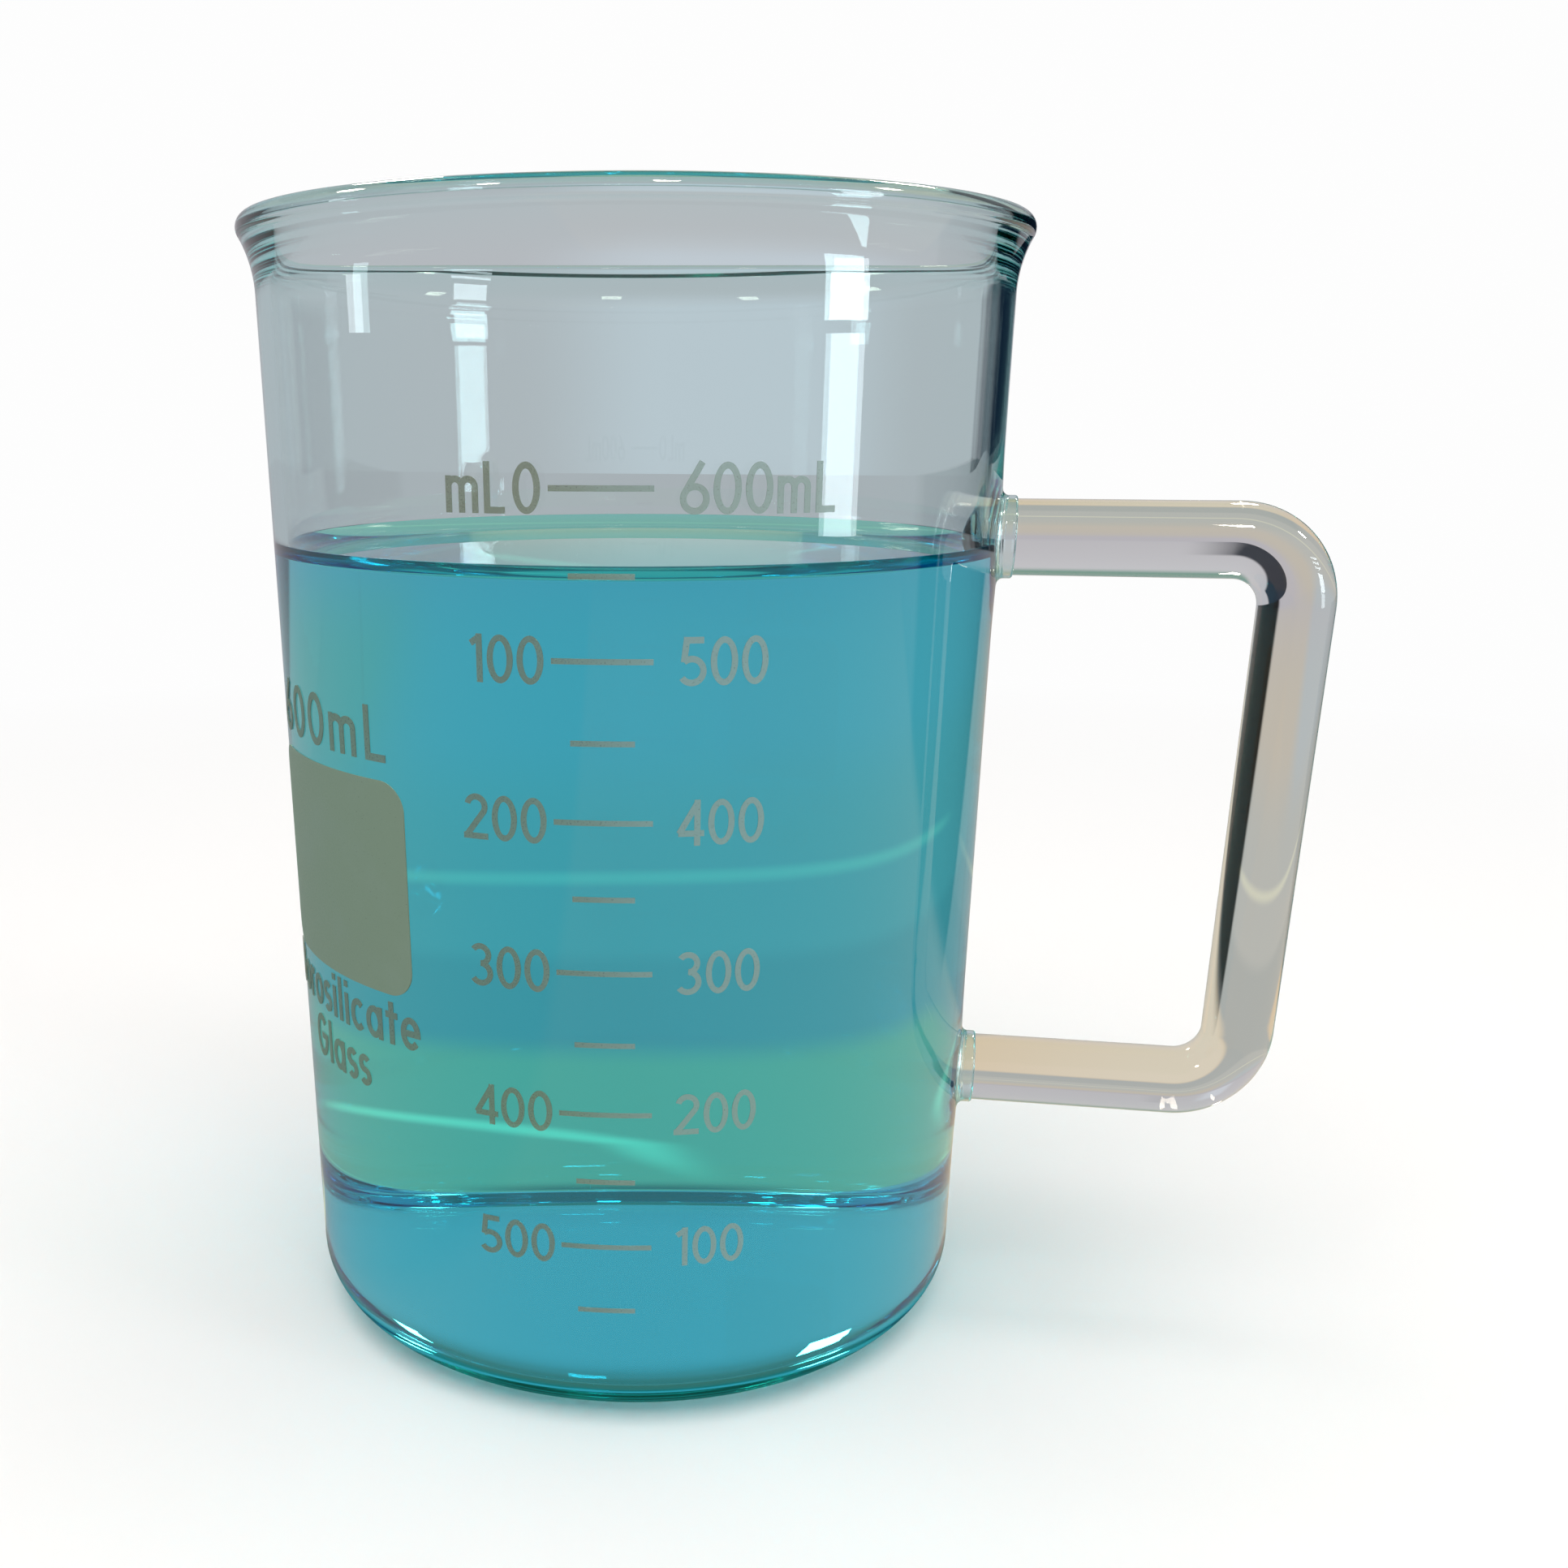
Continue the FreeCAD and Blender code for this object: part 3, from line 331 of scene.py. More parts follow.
class NodeTree:
    """Short calls for building the nodes of a material or of the room."""

    def __init__(self, tree: bpy.types.NodeTree, output: str) -> None:
        """Empty the tree and start it with its output."""
        self.tree = tree
        self.tree.nodes.clear()
        self.output = self.add(output)

    @classmethod
    def for_material(cls, name: str) -> tuple[Material, "NodeTree"]:
        """A new material and its empty tree.

        Args:
            name: the material's name.

        Returns:
            The material and the tree.
        """
        material = bpy.data.materials.new(name)
        material.use_nodes = True
        return material, cls(material.node_tree, "ShaderNodeOutputMaterial")

    def add(self, kind: str, **settings: object) -> bpy.types.Node:
        """Add a node and set its plain properties.

        Args:
            kind: Blender's name for the node's type.
            **settings: the properties and their values.

        Returns:
            The node.
        """
        node = self.tree.nodes.new(kind)
        for name, value in settings.items():
            setattr(node, name, value)
        return node

    def link(self, source: Socket, target: Socket) -> None:
        """Join two sockets."""
        self.tree.links.new(source, target)

    def place(self, system: str = "Object") -> tuple[Socket, Socket, Socket, Socket]:
        """Where a point is in one of the coordinate systems.

        Args:
            system: the system's name.

        Returns:
            The whole vector, and its X, Y and Z.
        """
        whole = self.add("ShaderNodeTexCoord").outputs[system]
        split = self.add("ShaderNodeSeparateXYZ")
        self.link(whole, split.inputs["Vector"])
        return (whole, *split.outputs)

    def math(self, operation: str, first: Socket, second: Socket | float = 0.0) -> Socket:
        """One step of arithmetic.

        Args:
            operation: Blender's name for it.
            first: the value that it works on.
            second: the other value, where it takes one.

        Returns:
            The result.
        """
        node = self.add("ShaderNodeMath", operation=operation)
        self.link(first, node.inputs[0])
        if isinstance(second, float):
            node.inputs[1].default_value = second
        else:
            self.link(second, node.inputs[1])
        return node.outputs[0]

    def spread(self, value: Socket, low: float, high: float, out_low: float = 0.0,
               out_high: float = 1.0, shape: str = "LINEAR") -> Socket:
        """Map a value from one range to another, clamped at both ends.

        Args:
            value: the value.
            low: where the first range starts.
            high: where it ends.
            out_low: what low becomes.
            out_high: what high becomes.
            shape: how it runs between them.

        Returns:
            The mapped value.
        """
        node = self.add("ShaderNodeMapRange", interpolation_type=shape)
        limits = {"From Min": low, "From Max": high, "To Min": out_low, "To Max": out_high}
        for name, limit in limits.items():
            node.inputs[name].default_value = limit
        self.link(value, node.inputs["Value"])
        return node.outputs["Result"]

    def rise(self, value: Socket, start: float, soft: float) -> Socket:
        """A smooth step from 0 to 1 that is half way up at start."""
        return self.spread(value, start - soft, start + soft, shape="SMOOTHSTEP")

    def fall(self, value: Socket, start: float, soft: float) -> Socket:
        """A smooth step from 1 to 0 that is half way down at start."""
        return self.spread(value, start - soft, start + soft, 1.0, 0.0, "SMOOTHSTEP")

    def band(self, value: Socket, low: float, high: float, soft: float) -> Socket:
        """1 between low and high and 0 outside them, with soft edges."""
        return self.math("SUBTRACT", self.rise(value, low, soft), self.rise(value, high, soft))

    def mix(self, factor: Socket, first: Socket | Colour, second: Colour) -> Socket:
        """Lay a plain colour over another colour.

        Args:
            factor: how much of the second colour there is.
            first: the colour underneath, plain or worked out.
            second: the colour on top.

        Returns:
            The mixed colour.
        """
        node = self.add("ShaderNodeMix", data_type="RGBA")
        self.link(factor, node.inputs[0])
        if isinstance(first, Socket):
            self.link(first, node.inputs[6])
        else:
            node.inputs[6].default_value = (*first, 1.0)
        node.inputs[7].default_value = (*second, 1.0)
        return node.outputs[2]

    def noise(self, waves: Triple | float, detail: float) -> Socket:
        """Noise on Object coordinates.

        Args:
            waves: waves to the metre, all round or along each axis.
            detail: how many finer layers it has.

        Returns:
            The noise, from 0 to 1.
        """
        source = self.add("ShaderNodeTexCoord").outputs["Object"]
        noise = self.add("ShaderNodeTexNoise")
        noise.inputs["Detail"].default_value = detail
        if isinstance(waves, float):
            noise.inputs["Scale"].default_value = waves
        else:
            mapping = self.add("ShaderNodeMapping")
            mapping.inputs["Scale"].default_value = waves
            self.link(source, mapping.inputs["Vector"])
            source = mapping.outputs["Vector"]
            noise.inputs["Scale"].default_value = 1.0
        self.link(source, noise.inputs["Vector"])
        return noise.outputs["Fac"]

    def bump(self, height: Socket, distance: float, strength: float) -> Socket:
        """Bump from a height.

        Args:
            height: the height, from 0 to 1.
            distance: what a height of 1 stands for, in metres.
            strength: how much of the bump shows.

        Returns:
            The normal.
        """
        node = self.add("ShaderNodeBump")
        node.inputs["Distance"].default_value = distance
        node.inputs["Strength"].default_value = strength
        self.link(height, node.inputs["Height"])
        return node.outputs["Normal"]

    def finish(self, seen: Socket, others: Socket) -> None:
        """Give the output one shader for the camera's own rays and another for all others.

        Args:
            seen: the camera's.
            others: what light and glass meet.
        """
        path = self.add("ShaderNodeLightPath")
        choose = self.add("ShaderNodeMixShader")
        self.link(path.outputs["Is Camera Ray"], choose.inputs["Fac"])
        self.link(others, choose.inputs[1])
        self.link(seen, choose.inputs[2])
        self.link(choose.outputs["Shader"], self.output.inputs["Surface"])


@dataclass(frozen=True)
class GlassFinish:
    """Polished clear glass or water, with a drawn tube's faint streaks where it has them.

    Where wet_ior is given, the faces marked in the piece's "wetted" attribute bend light
    as glass against liquid does, and the others as glass against air.
    """

    name: str
    ior: float
    wet_ior: Optional[float] = None
    tint: Colour = (1.0, 1.0, 1.0)
    streak: float = 0.0
    streak_waves: Triple = (260.0, 260.0, 9.0)
    streak_detail: float = 2.0
    volume_colour: Optional[Colour] = None
    volume_density: float = 0.0

    def make(self) -> Material:
        """Build the material.

        Returns:
            The material.
        """
        material, nodes = NodeTree.for_material(self.name)
        shader = nodes.add("ShaderNodeBsdfPrincipled")
        shader.inputs["Base Color"].default_value = (*self.tint, 1.0)
        shader.inputs["Transmission Weight"].default_value = 1.0
        shader.inputs["IOR"].default_value = self.ior
        if self.wet_ior is not None:
            wetted = nodes.add("ShaderNodeAttribute", attribute_name="wetted")
            nodes.link(nodes.spread(wetted.outputs["Fac"], 0.0, 1.0, self.ior, self.wet_ior),
                       shader.inputs["IOR"])
        shader.inputs["Roughness"].default_value = 0.0
        if self.streak > 0.0:
            waves = nodes.noise(self.streak_waves, self.streak_detail)
            nodes.link(nodes.bump(waves, self.streak, 1.0), shader.inputs["Normal"])
        nodes.link(shader.outputs["BSDF"], nodes.output.inputs["Surface"])
        if self.volume_colour is not None:
            volume = nodes.add("ShaderNodeVolumeAbsorption")
            volume.inputs["Color"].default_value = (*self.volume_colour, 1.0)
            volume.inputs["Density"].default_value = self.volume_density
            nodes.link(volume.outputs["Volume"], nodes.output.inputs["Volume"])
        return material


@dataclass(frozen=True)
class EnamelFinish:
    """Fired screen-print enamel: matte, slightly see-through and a little worn.

    Its colour runs from khaki on the label's side to a paler grey towards the handle. The paler
    side is painted light: the print is drawn as if lit there, not a change in the enamel.
    """

    name: str
    khaki: Triple
    lit_pale: Triple
    cover: float
    wear: float
    # Where the painted lit side starts along X, and how wide the turn to it is.
    lit_turn_x: float = 0.004
    lit_turn_width: float = 0.010
    noise_span: Pair = (0.3, 0.7)
    cloud: Pair = (130.0, 3.0)
    cloud_shift: float = 0.12
    grain: Pair = (5200.0, 2.0)
    roughness: Pair = (0.42, 0.60)
    wear_start: float = 0.24
    worn_share: float = 0.6
    grain_depth: float = 0.02 * MM
    grain_strength: float = 0.6

    def make(self) -> Material:
        """Build the material.

        Returns:
            The material.
        """
        material, nodes = NodeTree.for_material(self.name)
        shader = nodes.add("ShaderNodeBsdfPrincipled")
        east = nodes.place()[1]
        cloud = nodes.spread(nodes.noise(*self.cloud), *self.noise_span, -self.cloud_shift,
                             self.cloud_shift)
        # Painted light: the print turns paler towards the handle's side, as if lit from there.
        across = nodes.rise(east, self.lit_turn_x, self.lit_turn_width)
        grain = nodes.noise(*self.grain)
        nodes.link(nodes.mix(nodes.math("ADD", across, cloud), self.khaki, self.lit_pale),
                   shader.inputs["Base Color"])
        nodes.link(nodes.spread(grain, *self.noise_span, *self.roughness),
                   shader.inputs["Roughness"])
        nodes.link(nodes.spread(grain, self.wear_start, self.wear_start + self.wear,
                                self.cover * self.worn_share, self.cover),
                   shader.inputs["Alpha"])
        nodes.link(nodes.bump(grain, self.grain_depth, self.grain_strength),
                   shader.inputs["Normal"])
        nodes.link(shader.outputs["BSDF"], nodes.output.inputs["Surface"])
        return material


@dataclass(frozen=True)
class LightArc:
    """A thin bright curve that the beaker throws on the bench, part of a wide circle."""

    centre: Pair
    radius: float
    half_width: float
    east: Pair
    strength: float
    end_soft: float = 4.0

    def shine(self, nodes: NodeTree, east: Socket,
              north: Socket) -> Socket:
        """How bright the curve is at a place on the bench.

        It is the circle's distance turned into a soft band, kept between two places east.

        Args:
            nodes: the tree to add to.
            east: the place's X.
            north: the place's Y.

        Returns:
            The brightness.
        """
        over = nodes.math("SUBTRACT", east, self.centre[0])
        up = nodes.math("SUBTRACT", north, self.centre[1])
        reach = nodes.math("SQRT", nodes.math("ADD", nodes.math("MULTIPLY", over, over),
                                              nodes.math("MULTIPLY", up, up)))
        ring = nodes.band(reach, self.radius - self.half_width, self.radius + self.half_width,
                          self.half_width)
        span = nodes.band(east, *self.east, self.half_width * self.end_soft)
        return nodes.math("MULTIPLY", nodes.math("MULTIPLY", ring, span), self.strength)


@dataclass(frozen=True)
class Zone:
    """A colour of the bench as the glass shows it, where its edge lies and how soft that is."""

    colour: Colour
    edge: float
    soft: float


@dataclass(frozen=True)
class BenchFinish:
    """A plain matte pale bench, which fades into the backdrop far from the beaker.

    Rays that come through or off the glass meet a dimmer, faintly coloured bench instead: warm
    near the beaker, cooler further back, dark beside the cabinet, and crossed by the light that
    the beaker throws. Round the base it has a painted shadow ring, and under the liquid a painted
    pool of light.
    """

    seen: Colour = (0.855, 0.845, 0.840)
    fade: Pair = (0.18, 0.55)
    far_left: Colour = (0.45, 0.485, 0.50)
    far_right: Zone = Zone((0.52, 0.475, 0.41), 0.03, 0.05)
    middle: Zone = Zone((0.46, 0.465, 0.44), 0.33, 0.10)
    shade: Zone = Zone((0.40, 0.415, 0.40), 0.155, 0.008)
    near: Zone = Zone((0.69, 0.54, 0.365), 0.100, 0.008)
    near_left: Pair = (-0.045, 0.010)
    near_right: Zone = Zone((0.70, 0.62, 0.49), 0.055, 0.03)
    # Painted shadow: a dark teal ring round the base, for the shade where the beaker stands on the
    # bench.
    ring: Zone = Zone((0.03, 0.17, 0.16), 0.048, 0.004)
    # Painted light: the bench under the liquid, drawn as lit by light that has come through the
    # liquid.
    under: Zone = Zone((0.36, 0.50, 0.38), 0.034, 0.003)
    horizon: Zone = Zone((0.47, 0.45, 0.48), 0.9, 0.4)
    dark: Colour = (0.001, 0.001, 0.001)
    dark_deg: Pair = (27.0, 75.0)
    dark_origin_x: float = 0.100
    dark_soft: float = 0.03
    dark_front_soft: float = 0.02
    glow: Colour = (1.45, 1.40, 0.85)
    arcs: tuple[LightArc, LightArc] = (
        LightArc((-0.05, -1.78), 2.0, 0.0050, (-0.16, 0.20), 0.16),
        LightArc((-0.030, 0.030), 0.0355, 0.0016, (-0.060, -0.007), 0.48),
    )

    def plain(self, nodes: NodeTree, away: Socket) -> Socket:
        """The matte bench, which turns into the backdrop's white as it gets far away.

        Args:
            nodes: the tree to add to.
            away: distance from the beaker's axis.

        Returns:
            The shader.
        """
        matte = nodes.add("ShaderNodeBsdfDiffuse")
        matte.inputs["Color"].default_value = (*self.seen, 1.0)
        white = nodes.add("ShaderNodeEmission")
        white.inputs["Color"].default_value = (*BACKDROP, 1.0)
        seen = nodes.add("ShaderNodeMixShader")
        nodes.link(nodes.spread(away, *self.fade), seen.inputs["Fac"])
        nodes.link(matte.outputs["BSDF"], seen.inputs[1])
        nodes.link(white.outputs["Emission"], seen.inputs[2])
        return seen.outputs["Shader"]

    def reflected(self, nodes: NodeTree, east: Socket, north: Socket, away: Socket) -> Socket:
        """The dimmer bench that the glass shows.

        Each zone is laid over the ones before: by distance back, by distance from the
        axis, and, for the dark beside the cabinet, by bearing from a point on the right.

        Args:
            nodes: the tree to add to.
            east: the place's X.
            north: the place's Y.
            away: distance from the beaker's axis.

        Returns:
            The shader.
        """
        right, handle = self.far_right, self.near_right
        ground = nodes.mix(nodes.rise(east, right.edge, right.soft), self.far_left, right.colour)
        for zone in (self.middle, self.shade):
            ground = nodes.mix(nodes.fall(north, zone.edge, zone.soft), ground, zone.colour)
        warm = nodes.math("MULTIPLY", nodes.fall(north, self.near.edge, self.near.soft),
                          nodes.rise(east, *self.near_left))
        ground = nodes.mix(warm, ground, self.near.colour)
        by_handle = nodes.math("MULTIPLY", warm, nodes.rise(east, handle.edge, handle.soft))
        ground = nodes.mix(by_handle, ground, handle.colour)
        # Painted light and shade: ring is a painted shadow round the base, and under is a painted
        # pool of light beneath the liquid.
        for zone in (self.ring, self.under):
            ground = nodes.mix(nodes.fall(away, zone.edge, zone.soft), ground, zone.colour)
        far = nodes.rise(away, self.horizon.edge, self.horizon.soft)
        ground = nodes.mix(far, ground, self.horizon.colour)
        turn = nodes.math("ARCTAN2", nodes.math("SUBTRACT", east, self.dark_origin_x), north)
        beside = nodes.band(turn, *map(math.radians, self.dark_deg), self.dark_soft)
        behind = nodes.rise(north, self.near.edge, self.dark_front_soft)
        ground = nodes.mix(nodes.math("MULTIPLY", beside, behind), ground, self.dark)
        glow = nodes.math("ADD", *[arc.shine(nodes, east, north) for arc in self.arcs])
        deep = nodes.add("ShaderNodeEmission")
        nodes.link(nodes.mix(glow, ground, self.glow), deep.inputs["Color"])
        return deep.outputs["Emission"]

    def make(self) -> Material:
        """Build the material.

        Returns:
            The material.
        """
        material, nodes = NodeTree.for_material("pale_bench")
        whole, east, north, _ = nodes.place()
        length = nodes.add("ShaderNodeVectorMath", operation="LENGTH")
        nodes.link(whole, length.inputs[0])
        away = length.outputs["Value"]
        nodes.finish(self.plain(nodes, away), self.reflected(nodes, east, north, away))
        return material


# ---------------------------------------------------------------- glass cup


@dataclass(frozen=True)
class Weld:
    """Where an arm of the handle is welded to the wall, and how it has moved the glass.

    Lengths are in metres. A positive inner_push bulges the inside into the cup and a
    negative one draws it out towards the handle.
    """

    height: float
    inner_push: float = 2.6 * MM
    inner_spread: float = 2.6 * MM
    outer_pull: float = 0.25 * MM
    outer_spread: float = 5.0 * MM

    def offset(self, side: Side, around: np.ndarray, up: np.ndarray) -> np.ndarray:
        """How far the wall's surface moves out from the axis near this weld.

        On each side it is a bell, push times exp(-(d / spread)^2 / 2), of the distance d
        from the arm's line along the wall.

        Args:
            side: which face of the wall.
            around: distance round the wall from the arm's line, in metres.
            up: height, in metres.

        Returns:
            The offset at every point.
        """
        distance = np.hypot(around, up - self.height)
        if side is Side.INSIDE:
            return -self.inner_push * np.exp(-0.5 * (distance / self.inner_spread) ** 2)
        return self.outer_pull * np.exp(-0.5 * (distance / self.outer_spread) ** 2)


@dataclass
class Cup:
    """The glass cup: flat floor, rounded heel, straight wall and a flared, beaded rim."""

    sizes: BeakerSizes
    welds: Sequence[Weld]
    fine_columns: int = 64
    coarse_columns: int = 184
    fine_half_deg: float = 14.0
    grading: Triple = (9.0 * MM, 0.75 * MM, 4.0 * MM)
    wall_share: float = 0.9
    columns: np.ndarray = field(init=False)

    def __post_init__(self) -> None:
        """Lay out the columns: close together behind the handle, wider elsewhere."""
        half = math.radians(self.fine_half_deg)
        near = np.linspace(-half, half, self.fine_columns, endpoint=False)
        far = np.linspace(half, 2.0 * math.pi - half, self.coarse_columns, endpoint=False)
        self.columns = np.concatenate([near, far])

    def bead(self) -> Triple:
        """Centre radius, centre height and own radius of the rim's round bead."""
        s = self.sizes
        thick = s.wall_r - s.bore_r
        radius = (thick + s.overhang - s.mouth_step) / 2.0
        return s.rim_r - radius, s.height - radius, radius

    def outside_profile(self) -> np.ndarray:
        """Profile from the floor's centre out, up the wall and over the bead's crown.

        Straight lines, the heel's quarter circle, the flare's arc, which touches the
        wall and the bead, and the bead's own circle.

        Returns:
            N x 2 array of (radius, height).
        """
        s = self.sizes
        bead_x, bead_z, bead_r = self.bead()
        wall = s.wall_r - WALL_RELIEF
        flare_x = s.wall_r + s.flare
        reach = s.flare + bead_r
        flare_z = bead_z - math.sqrt(reach**2 - (flare_x - bead_x) ** 2)
        meet = math.degrees(math.atan2(flare_z - bead_z, flare_x - bead_x))
        base = np.stack([np.linspace(POLE_RADIUS, s.wall_r - s.heel, 9), np.zeros(9)], -1)
        heel = arc_points((s.wall_r - s.heel, s.heel), s.heel - WALL_RELIEF, 270, 360, 15)
        heel[0] = (s.wall_r - s.heel, 0.0)
        heights = graded(s.heel, flare_z, [s.low_arm, s.high_arm], *self.grading)
        straight = np.stack([np.full(len(heights), wall), heights], -1)
        flare = arc_points((flare_x, flare_z), s.flare + WALL_RELIEF, 180, 180 + meet, 12)
        bead = arc_points((bead_x, bead_z), bead_r, meet, 90, 11)
        return tidy_profile([base, heel, straight, flare, bead])

    def inside_profile(self) -> np.ndarray:
        """Profile from the bead's crown down the inside of the wall to the floor's centre.

        Returns:
            N x 2 array of (radius, height).
        """
        s = self.sizes
        bead_x, bead_z, bead_r = self.bead()
        mouth_x = s.bore_r + s.mouth
        gap = s.mouth - bead_r
        mouth_z = bead_z - math.sqrt(gap**2 - (mouth_x - bead_x) ** 2)
        meet = math.degrees(math.atan2(bead_z - mouth_z, bead_x - mouth_x))
        bead = arc_points((bead_x, bead_z), bead_r, 90, meet, 10)
        mouth = arc_points((mouth_x, mouth_z), s.mouth, meet, 180, 9)
        low = s.floor + s.inner_heel
        upper = graded(s.waterline, mouth_z, [s.high_arm], *self.grading)[::-1]
        lower = graded(low, s.waterline, [s.low_arm, s.high_arm], *self.grading)[::-1]
        straight = [np.stack([np.full(len(h), s.bore_r), h], -1) for h in (upper, lower)]
        centre = (s.bore_r - s.inner_heel, low)
        heel = arc_points(centre, s.inner_heel, 360, 270, 13)
        floor = np.stack([np.linspace(centre[0], POLE_RADIUS, 9), np.full(9, s.floor)], -1)
        return tidy_profile([bead, mouth, *straight, heel, floor])

    def pressed(self, side: Side, radius: np.ndarray, height: np.ndarray) -> np.ndarray:
        """The radius at each grid point after the welds have moved the wall.

        Args:
            side: which face of the wall.
            radius: rows x columns array of radii.
            height: rows x columns array of heights.

        Returns:
            The moved radii.
        """
        turn = (self.columns + math.pi) % (2.0 * math.pi) - math.pi
        around = turn[None, :] * radius
        moved = radius.copy()
        for weld in self.welds:
            moved += weld.offset(side, around, height)
        return moved

    def surface(self, side: Side, profile: np.ndarray) -> np.ndarray:
        """Turn a profile round the axis: (r cos a, r sin a, z), then press the welds in.

        Args:
            side: which face of the wall the profile is.
            profile: N x 2 array of (radius, height).

        Returns:
            N x columns x 3 array.
        """
        radius = np.repeat(profile[:, :1], len(self.columns), axis=1)
        height = np.repeat(profile[:, 1:], len(self.columns), axis=1)
        on_wall = (height > self.sizes.heel) & (radius > self.sizes.bore_r * self.wall_share)
        radius = np.where(on_wall, self.pressed(side, radius, height), radius)
        return np.stack([radius * np.cos(self.columns), radius * np.sin(self.columns), height], -1)

    def build(self, glass: Material) -> bpy.types.Object:
        """Make the cup as one closed shell of glass, and mark the faces that are wetted.

        Args:
            glass: its finish.

        Returns:
            The object.
        """
        outer, inner = self.outside_profile(), self.inside_profile()
        profile = tidy_profile([outer, inner])
        shell = np.concatenate([self.surface(Side.OUTSIDE, profile[: len(outer)]),
                                self.surface(Side.INSIDE, profile[len(outer):])])
        poles = [[0.0, 0.0, 0.0], [0.0, 0.0, self.sizes.floor]]
        maker = MeshMaker("glass_cup", Slot.CLEAR_GLASS, ("beaker_body",))
        cup = maker.build_closed(shell, poles, [glass])
        row_mid = (profile[:-1] + profile[1:]) / 2.0
        inner_row = np.arange(len(row_mid)) >= len(outer)
        is_wet = inner_row & (row_mid[:, 1] < self.sizes.waterline)
        wetted = np.repeat([*is_wet, False, True], len(self.columns))
        mark = cup.data.attributes.new("wetted", "FLOAT", "FACE")
        mark.data.foreach_set("value", wetted.astype(np.float32))
        return cup


# ---------------------------------------------------------------- liquid


@dataclass
class Liquid:
    """The blue liquid: a body that fills the cup and a thin skin that is its free surface."""

    cup: Cup
    skin_thick: float = 0.05 * MM
    skin_lift: float = 0.01 * MM
    skin_rings: int = 30
    ring_span: float = 0.97

    def level(self, radius: np.ndarray) -> np.ndarray:
        """Height of the free surface: flat, then a circle that climbs to the wall.

        Args:
            radius: distance from the axis.

        Returns:
            The height at each radius.
        """
        s = self.cup.sizes
        curve = (s.meniscus_rise**2 + s.meniscus_reach**2) / (2.0 * s.meniscus_rise)
        into = np.clip(radius - (s.bore_r - s.meniscus_reach), 0.0, s.meniscus_reach)
        return s.surface + curve - np.sqrt(curve**2 - into**2)

    def shares(self) -> np.ndarray:
        """Radii of the surface's rings as shares of its edge, packed closer towards the edge."""
        return 1.0 - self.ring_span * np.linspace(1.0, 0.0, self.skin_rings)**2

    def body_grid(self) -> np.ndarray:
        """The liquid's outside, up from the floor's centre and back over the top.

        Its side follows the inside of the glass with a hair's gap.

        Returns:
            N x columns x 3 array.
        """
        s = self.cup.sizes
        inside = self.cup.inside_profile()[::-1]
        below = inside[inside[:, 1] < s.waterline - WATERLINE_MARGIN]
        side = np.concatenate([below, [[s.bore_r, s.waterline]]])
        wall = self.cup.surface(Side.INSIDE, side)
        centre_lift = np.where(side[:, 1:2] < s.floor + s.inner_heel, 1.0, 0.0)
        shrink = 1.0 - LIQUID_GAP / s.bore_r
        wall[..., :2] *= shrink
        wall[..., 2] += LIQUID_GAP * centre_lift
        edge = wall[-1]
        share = self.shares()[::-1][1:, None]
        top = np.empty((self.skin_rings - 1, len(self.cup.columns), 3))
        top[..., :2] = edge[None, :, :2] * share[..., None]
        drop = self.skin_thick + LIQUID_GAP
        top[..., 2] = self.level(np.hypot(top[..., 0], top[..., 1])) - drop
        wall[-1, :, 2] = s.waterline - drop
        return np.concatenate([wall, top])

    def build_body(self, material: Material) -> bpy.types.Object:
        """Make the closed body of liquid.

        Args:
            material: its finish.

        Returns:
            The object.
        """
        s = self.cup.sizes
        poles = [[0.0, 0.0, s.floor + LIQUID_GAP],
                 [0.0, 0.0, s.surface - self.skin_thick - LIQUID_GAP]]
        maker = MeshMaker("blue_liquid_body", Slot.BLUE_LIQUID, ("blue_liquid",))
        return maker.build_closed(self.body_grid(), poles, [material])

    def build_skin(self, materials: Sequence[Material]) -> bpy.types.Object:
        """Make the liquid's free surface: a thin closed lens with the meniscus at its edge.

        Args:
            materials: the finishes where liquid meets air, where the skin meets the body,
                and where the top climbs the wall and is seen through its length.

        Returns:
            The object.
        """
        s = self.cup.sizes
        top, under, climb = range(len(materials))
        share = self.shares()
        flat = self.body_grid()[-self.skin_rings, :, :2][None] * share[:, None, None]
        height = self.level(np.hypot(flat[..., 0], flat[..., 1]))[..., None]
        lower = np.concatenate([flat, height - self.skin_thick], -1)
        upper = np.concatenate([flat, height + self.skin_lift], -1)[::-1]
        poles = [[0.0, 0.0, s.surface - self.skin_thick], [0.0, 0.0, s.surface + self.skin_lift]]
        number = np.arange(2 * self.skin_rings - 1)
        climbing = np.count_nonzero(share * s.bore_r > s.bore_r - s.meniscus_reach)
        slots = np.select([number < self.skin_rings, number < self.skin_rings + climbing],
                          [under, climb], top)
        slots = np.repeat([*slots, under, top], flat.shape[1]).astype(np.int32)
        maker = MeshMaker("liquid_surface", Slot.BLUE_LIQUID)
        return maker.build_closed(np.concatenate([lower, upper]), poles, materials, slots)


# ---------------------------------------------------------------- handle and welds


